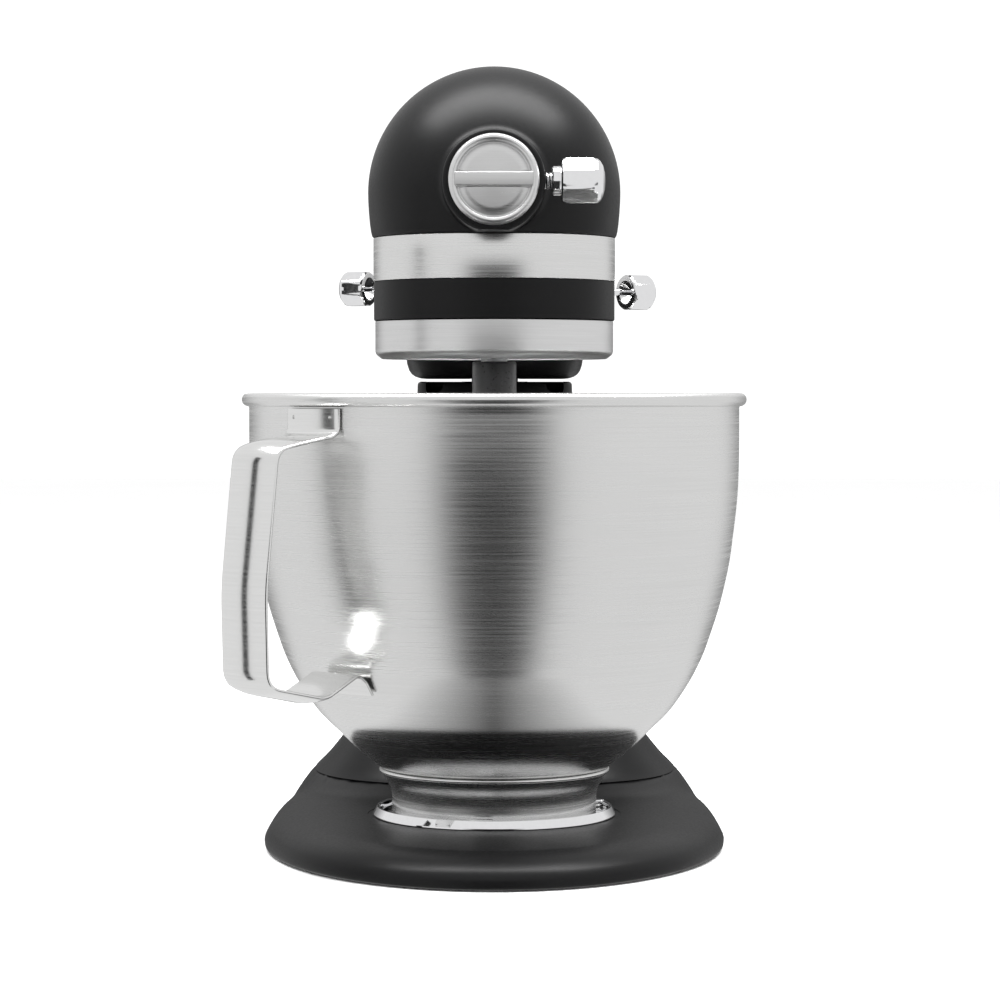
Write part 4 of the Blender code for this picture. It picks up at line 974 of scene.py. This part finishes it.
def make_floor():
    bm = bmesh.new()
    bmesh.ops.create_circle(bm, cap_ends=True, radius=6.0, segments=96)
    floor = bpy.data.objects.new("floor", mesh_of("floor", bm))
    made, tree, shader = nodes_for("pale_floor", (0.9, 0.9, 0.9), 0.0)
    patches = add_noise(tree, 3.0, (1, 1, 1), 3.0)
    tree.links.new(add_mix(tree, patches, (0.88, 0.88, 0.88), (0.9, 0.9, 0.9)), shader.inputs["Base Color"])
    shader.inputs["Roughness"].default_value = 0.7
    floor.data.materials.append(made)
    bpy.context.scene.collection.objects.link(floor)
    floor.visible_glossy = False


def add_softbox(name, at, aim, size, power):
    data = bpy.data.lights.new(name, "AREA")
    data.shape = "RECTANGLE"
    data.size, data.size_y = size
    data.energy = power
    lamp = bpy.data.objects.new(name, data)
    lamp.location = Vector(at)
    lamp.rotation_euler = (Vector(aim) - Vector(at)).to_track_quat("-Z", "Y").to_euler()
    bpy.context.scene.collection.objects.link(lamp)
    return lamp


def make_world():
    """A white studio all round, a little darker in reflections."""
    world = bpy.data.worlds.new("studio")
    world.use_nodes = True
    bpy.context.scene.world = world
    tree = world.node_tree
    path = tree.nodes.new("ShaderNodeLightPath")
    strength = add_range(tree, path.outputs["Is Glossy Ray"], STUDIO_LIGHT, GLOSS_LIGHT, 0.0, 1.0)
    tree.nodes["Background"].inputs["Color"].default_value = (1.0, 1.0, 1.0, 1.0)
    tree.links.new(strength, tree.nodes["Background"].inputs["Strength"])


def add_reflection_card(name, rings, dark, across, upward):
    """A glowing card that only shows in reflections, from its front: a painted reflection, dark in the
    middle with soft edges.

    The fades are in metres: across counts from the middle and upward from the table.
    """
    bm = bmesh.new()
    grid = [[bm.verts.new(Vector(p)) for p in ring] for ring in rings]
    for one, two in zip(grid, grid[1:]):
        for a, b, c, d in zip(one, one[1:], two[1:], two):
            bm.faces.new((a, b, c, d))
    card = bpy.data.objects.new(name, mesh_of(name, bm))
    made = bpy.data.materials.new(name)
    made.use_nodes = True
    tree = made.node_tree
    tree.nodes.remove(tree.nodes["Principled BSDF"])
    coords = tree.nodes.new("ShaderNodeTexCoord")
    split = tree.nodes.new("ShaderNodeSeparateXYZ")
    tree.links.new(coords.outputs["Object"], split.inputs[0])
    side = tree.nodes.new("ShaderNodeMath")
    side.operation = "ABSOLUTE"
    tree.links.new(split.outputs["X"], side.inputs[0])
    most = tree.nodes.new("ShaderNodeMath")
    most.operation = "MAXIMUM"
    tree.links.new(add_range(tree, side.outputs[0], dark, GLOSS_LIGHT, *across), most.inputs[0])
    tree.links.new(add_range(tree, split.outputs["Z"], dark, GLOSS_LIGHT, *upward), most.inputs[1])
    # The card's glow is the painted reflection: dim in its dark middle, bright past its fades.
    glow = tree.nodes.new("ShaderNodeEmission")
    tree.links.new(most.outputs[0], glow.inputs["Strength"])
    clear = tree.nodes.new("ShaderNodeBsdfTransparent")
    mix = tree.nodes.new("ShaderNodeMixShader")
    facing = tree.nodes.new("ShaderNodeNewGeometry")
    tree.links.new(facing.outputs["Backfacing"], mix.inputs[0])
    tree.links.new(glow.outputs[0], mix.inputs[1])
    tree.links.new(clear.outputs[0], mix.inputs[2])
    tree.links.new(mix.outputs[0], tree.nodes["Material Output"].inputs["Surface"])
    card.data.materials.append(made)
    bpy.context.scene.collection.objects.link(card)
    card.visible_camera = False
    card.visible_diffuse = False
    card.visible_shadow = False


def make_reflection_cards():
    """Glowing cards that only show in reflections: dark ones in front of, beside and behind the mixer paint
    dark reflections, and a ring below the bowl paints bright reflections on the bowl's lower side.
    """
    half, low, high = 0.58, -2.0, 0.27
    y = AXIS_Y * MM - 1.0
    # Dark in the middle and low down, brighter past its edges: paints the dark stripe down the middle of
    # the bowl and the head's front in reflections.
    front = [[(half, y, low), (-half, y, low)], [(half, y, high), (-half, y, high)]]
    add_reflection_card("front_dark_reflection_card", front, 0.03, (0.29, half), (0.21, high))
    # A dark sheet to the left of the handle, seen only in reflections: paints the handle's dark reflection
    # streak on the bowl deeper.
    near = [[place(-400, y, z) for y in (-168, -118)] for z in (-100, 320)]
    add_reflection_card("handle_dark_reflection_card", near, 0.03, NO_FADE, NO_FADE)
    # Behind the mixer, dim in the middle and low down: paints darker reflections from the rear.
    back = [[(-1.3, 1.2, z), (1.3, 1.2, z)] for z in (-0.3, 0.6)]
    add_reflection_card("back_dark_reflection_card", back, 0.25, (0.6, 1.3), (0.3, 0.6))
    # A glowing ring between the bowl and the base, seen only in reflections: paints the bowl's lower side
    # bright at its sides and dark under its middle, in place of the dark base it would reflect.
    turns = [math.tau * i / 96 for i in range(97)]
    rings = []
    for radius, z in ((138, 22), (77, 35)):
        rings.append([place(radius * math.cos(a), radius * math.sin(a), z) for a in turns])
    add_reflection_card("bowl_painted_reflection_ring", rings, 0.1, (0.0, 0.07), NO_FADE)


def make_lights():
    add_softbox("top_light", (0, -0.06, 1.35), (0, -0.06, 0), (2.0, 0.55), 48)


def make_camera():
    data = bpy.data.cameras.new("camera")
    data.lens = FOCAL
    data.sensor_width = SENSOR
    data.clip_end = 20.0
    camera = bpy.data.objects.new("camera", data)
    camera.location = place(CAMERA_SIDE, -CAMERA_BACK, CAMERA_UP)
    camera.rotation_euler = (math.pi / 2 - CAMERA_DOWN, 0, 0)
    bpy.context.scene.collection.objects.link(camera)
    bpy.context.scene.camera = camera


bpy.context.scene.view_settings.view_transform = "Standard"
make_camera()
make_world()
make_reflection_cards()
make_lights()
make_floor()
paint_frame()
make_base()
make_pedestal()
make_feet()
make_clamp_plate()
make_bowl()
make_bowl_foot()
make_handle()
make_housing()
make_case()
make_band()
make_rear_cover()
make_drip_ring()
make_brush_caps()
make_hub_cap()
make_hub_screw()
make_levers()
make_planetary()
make_beater()
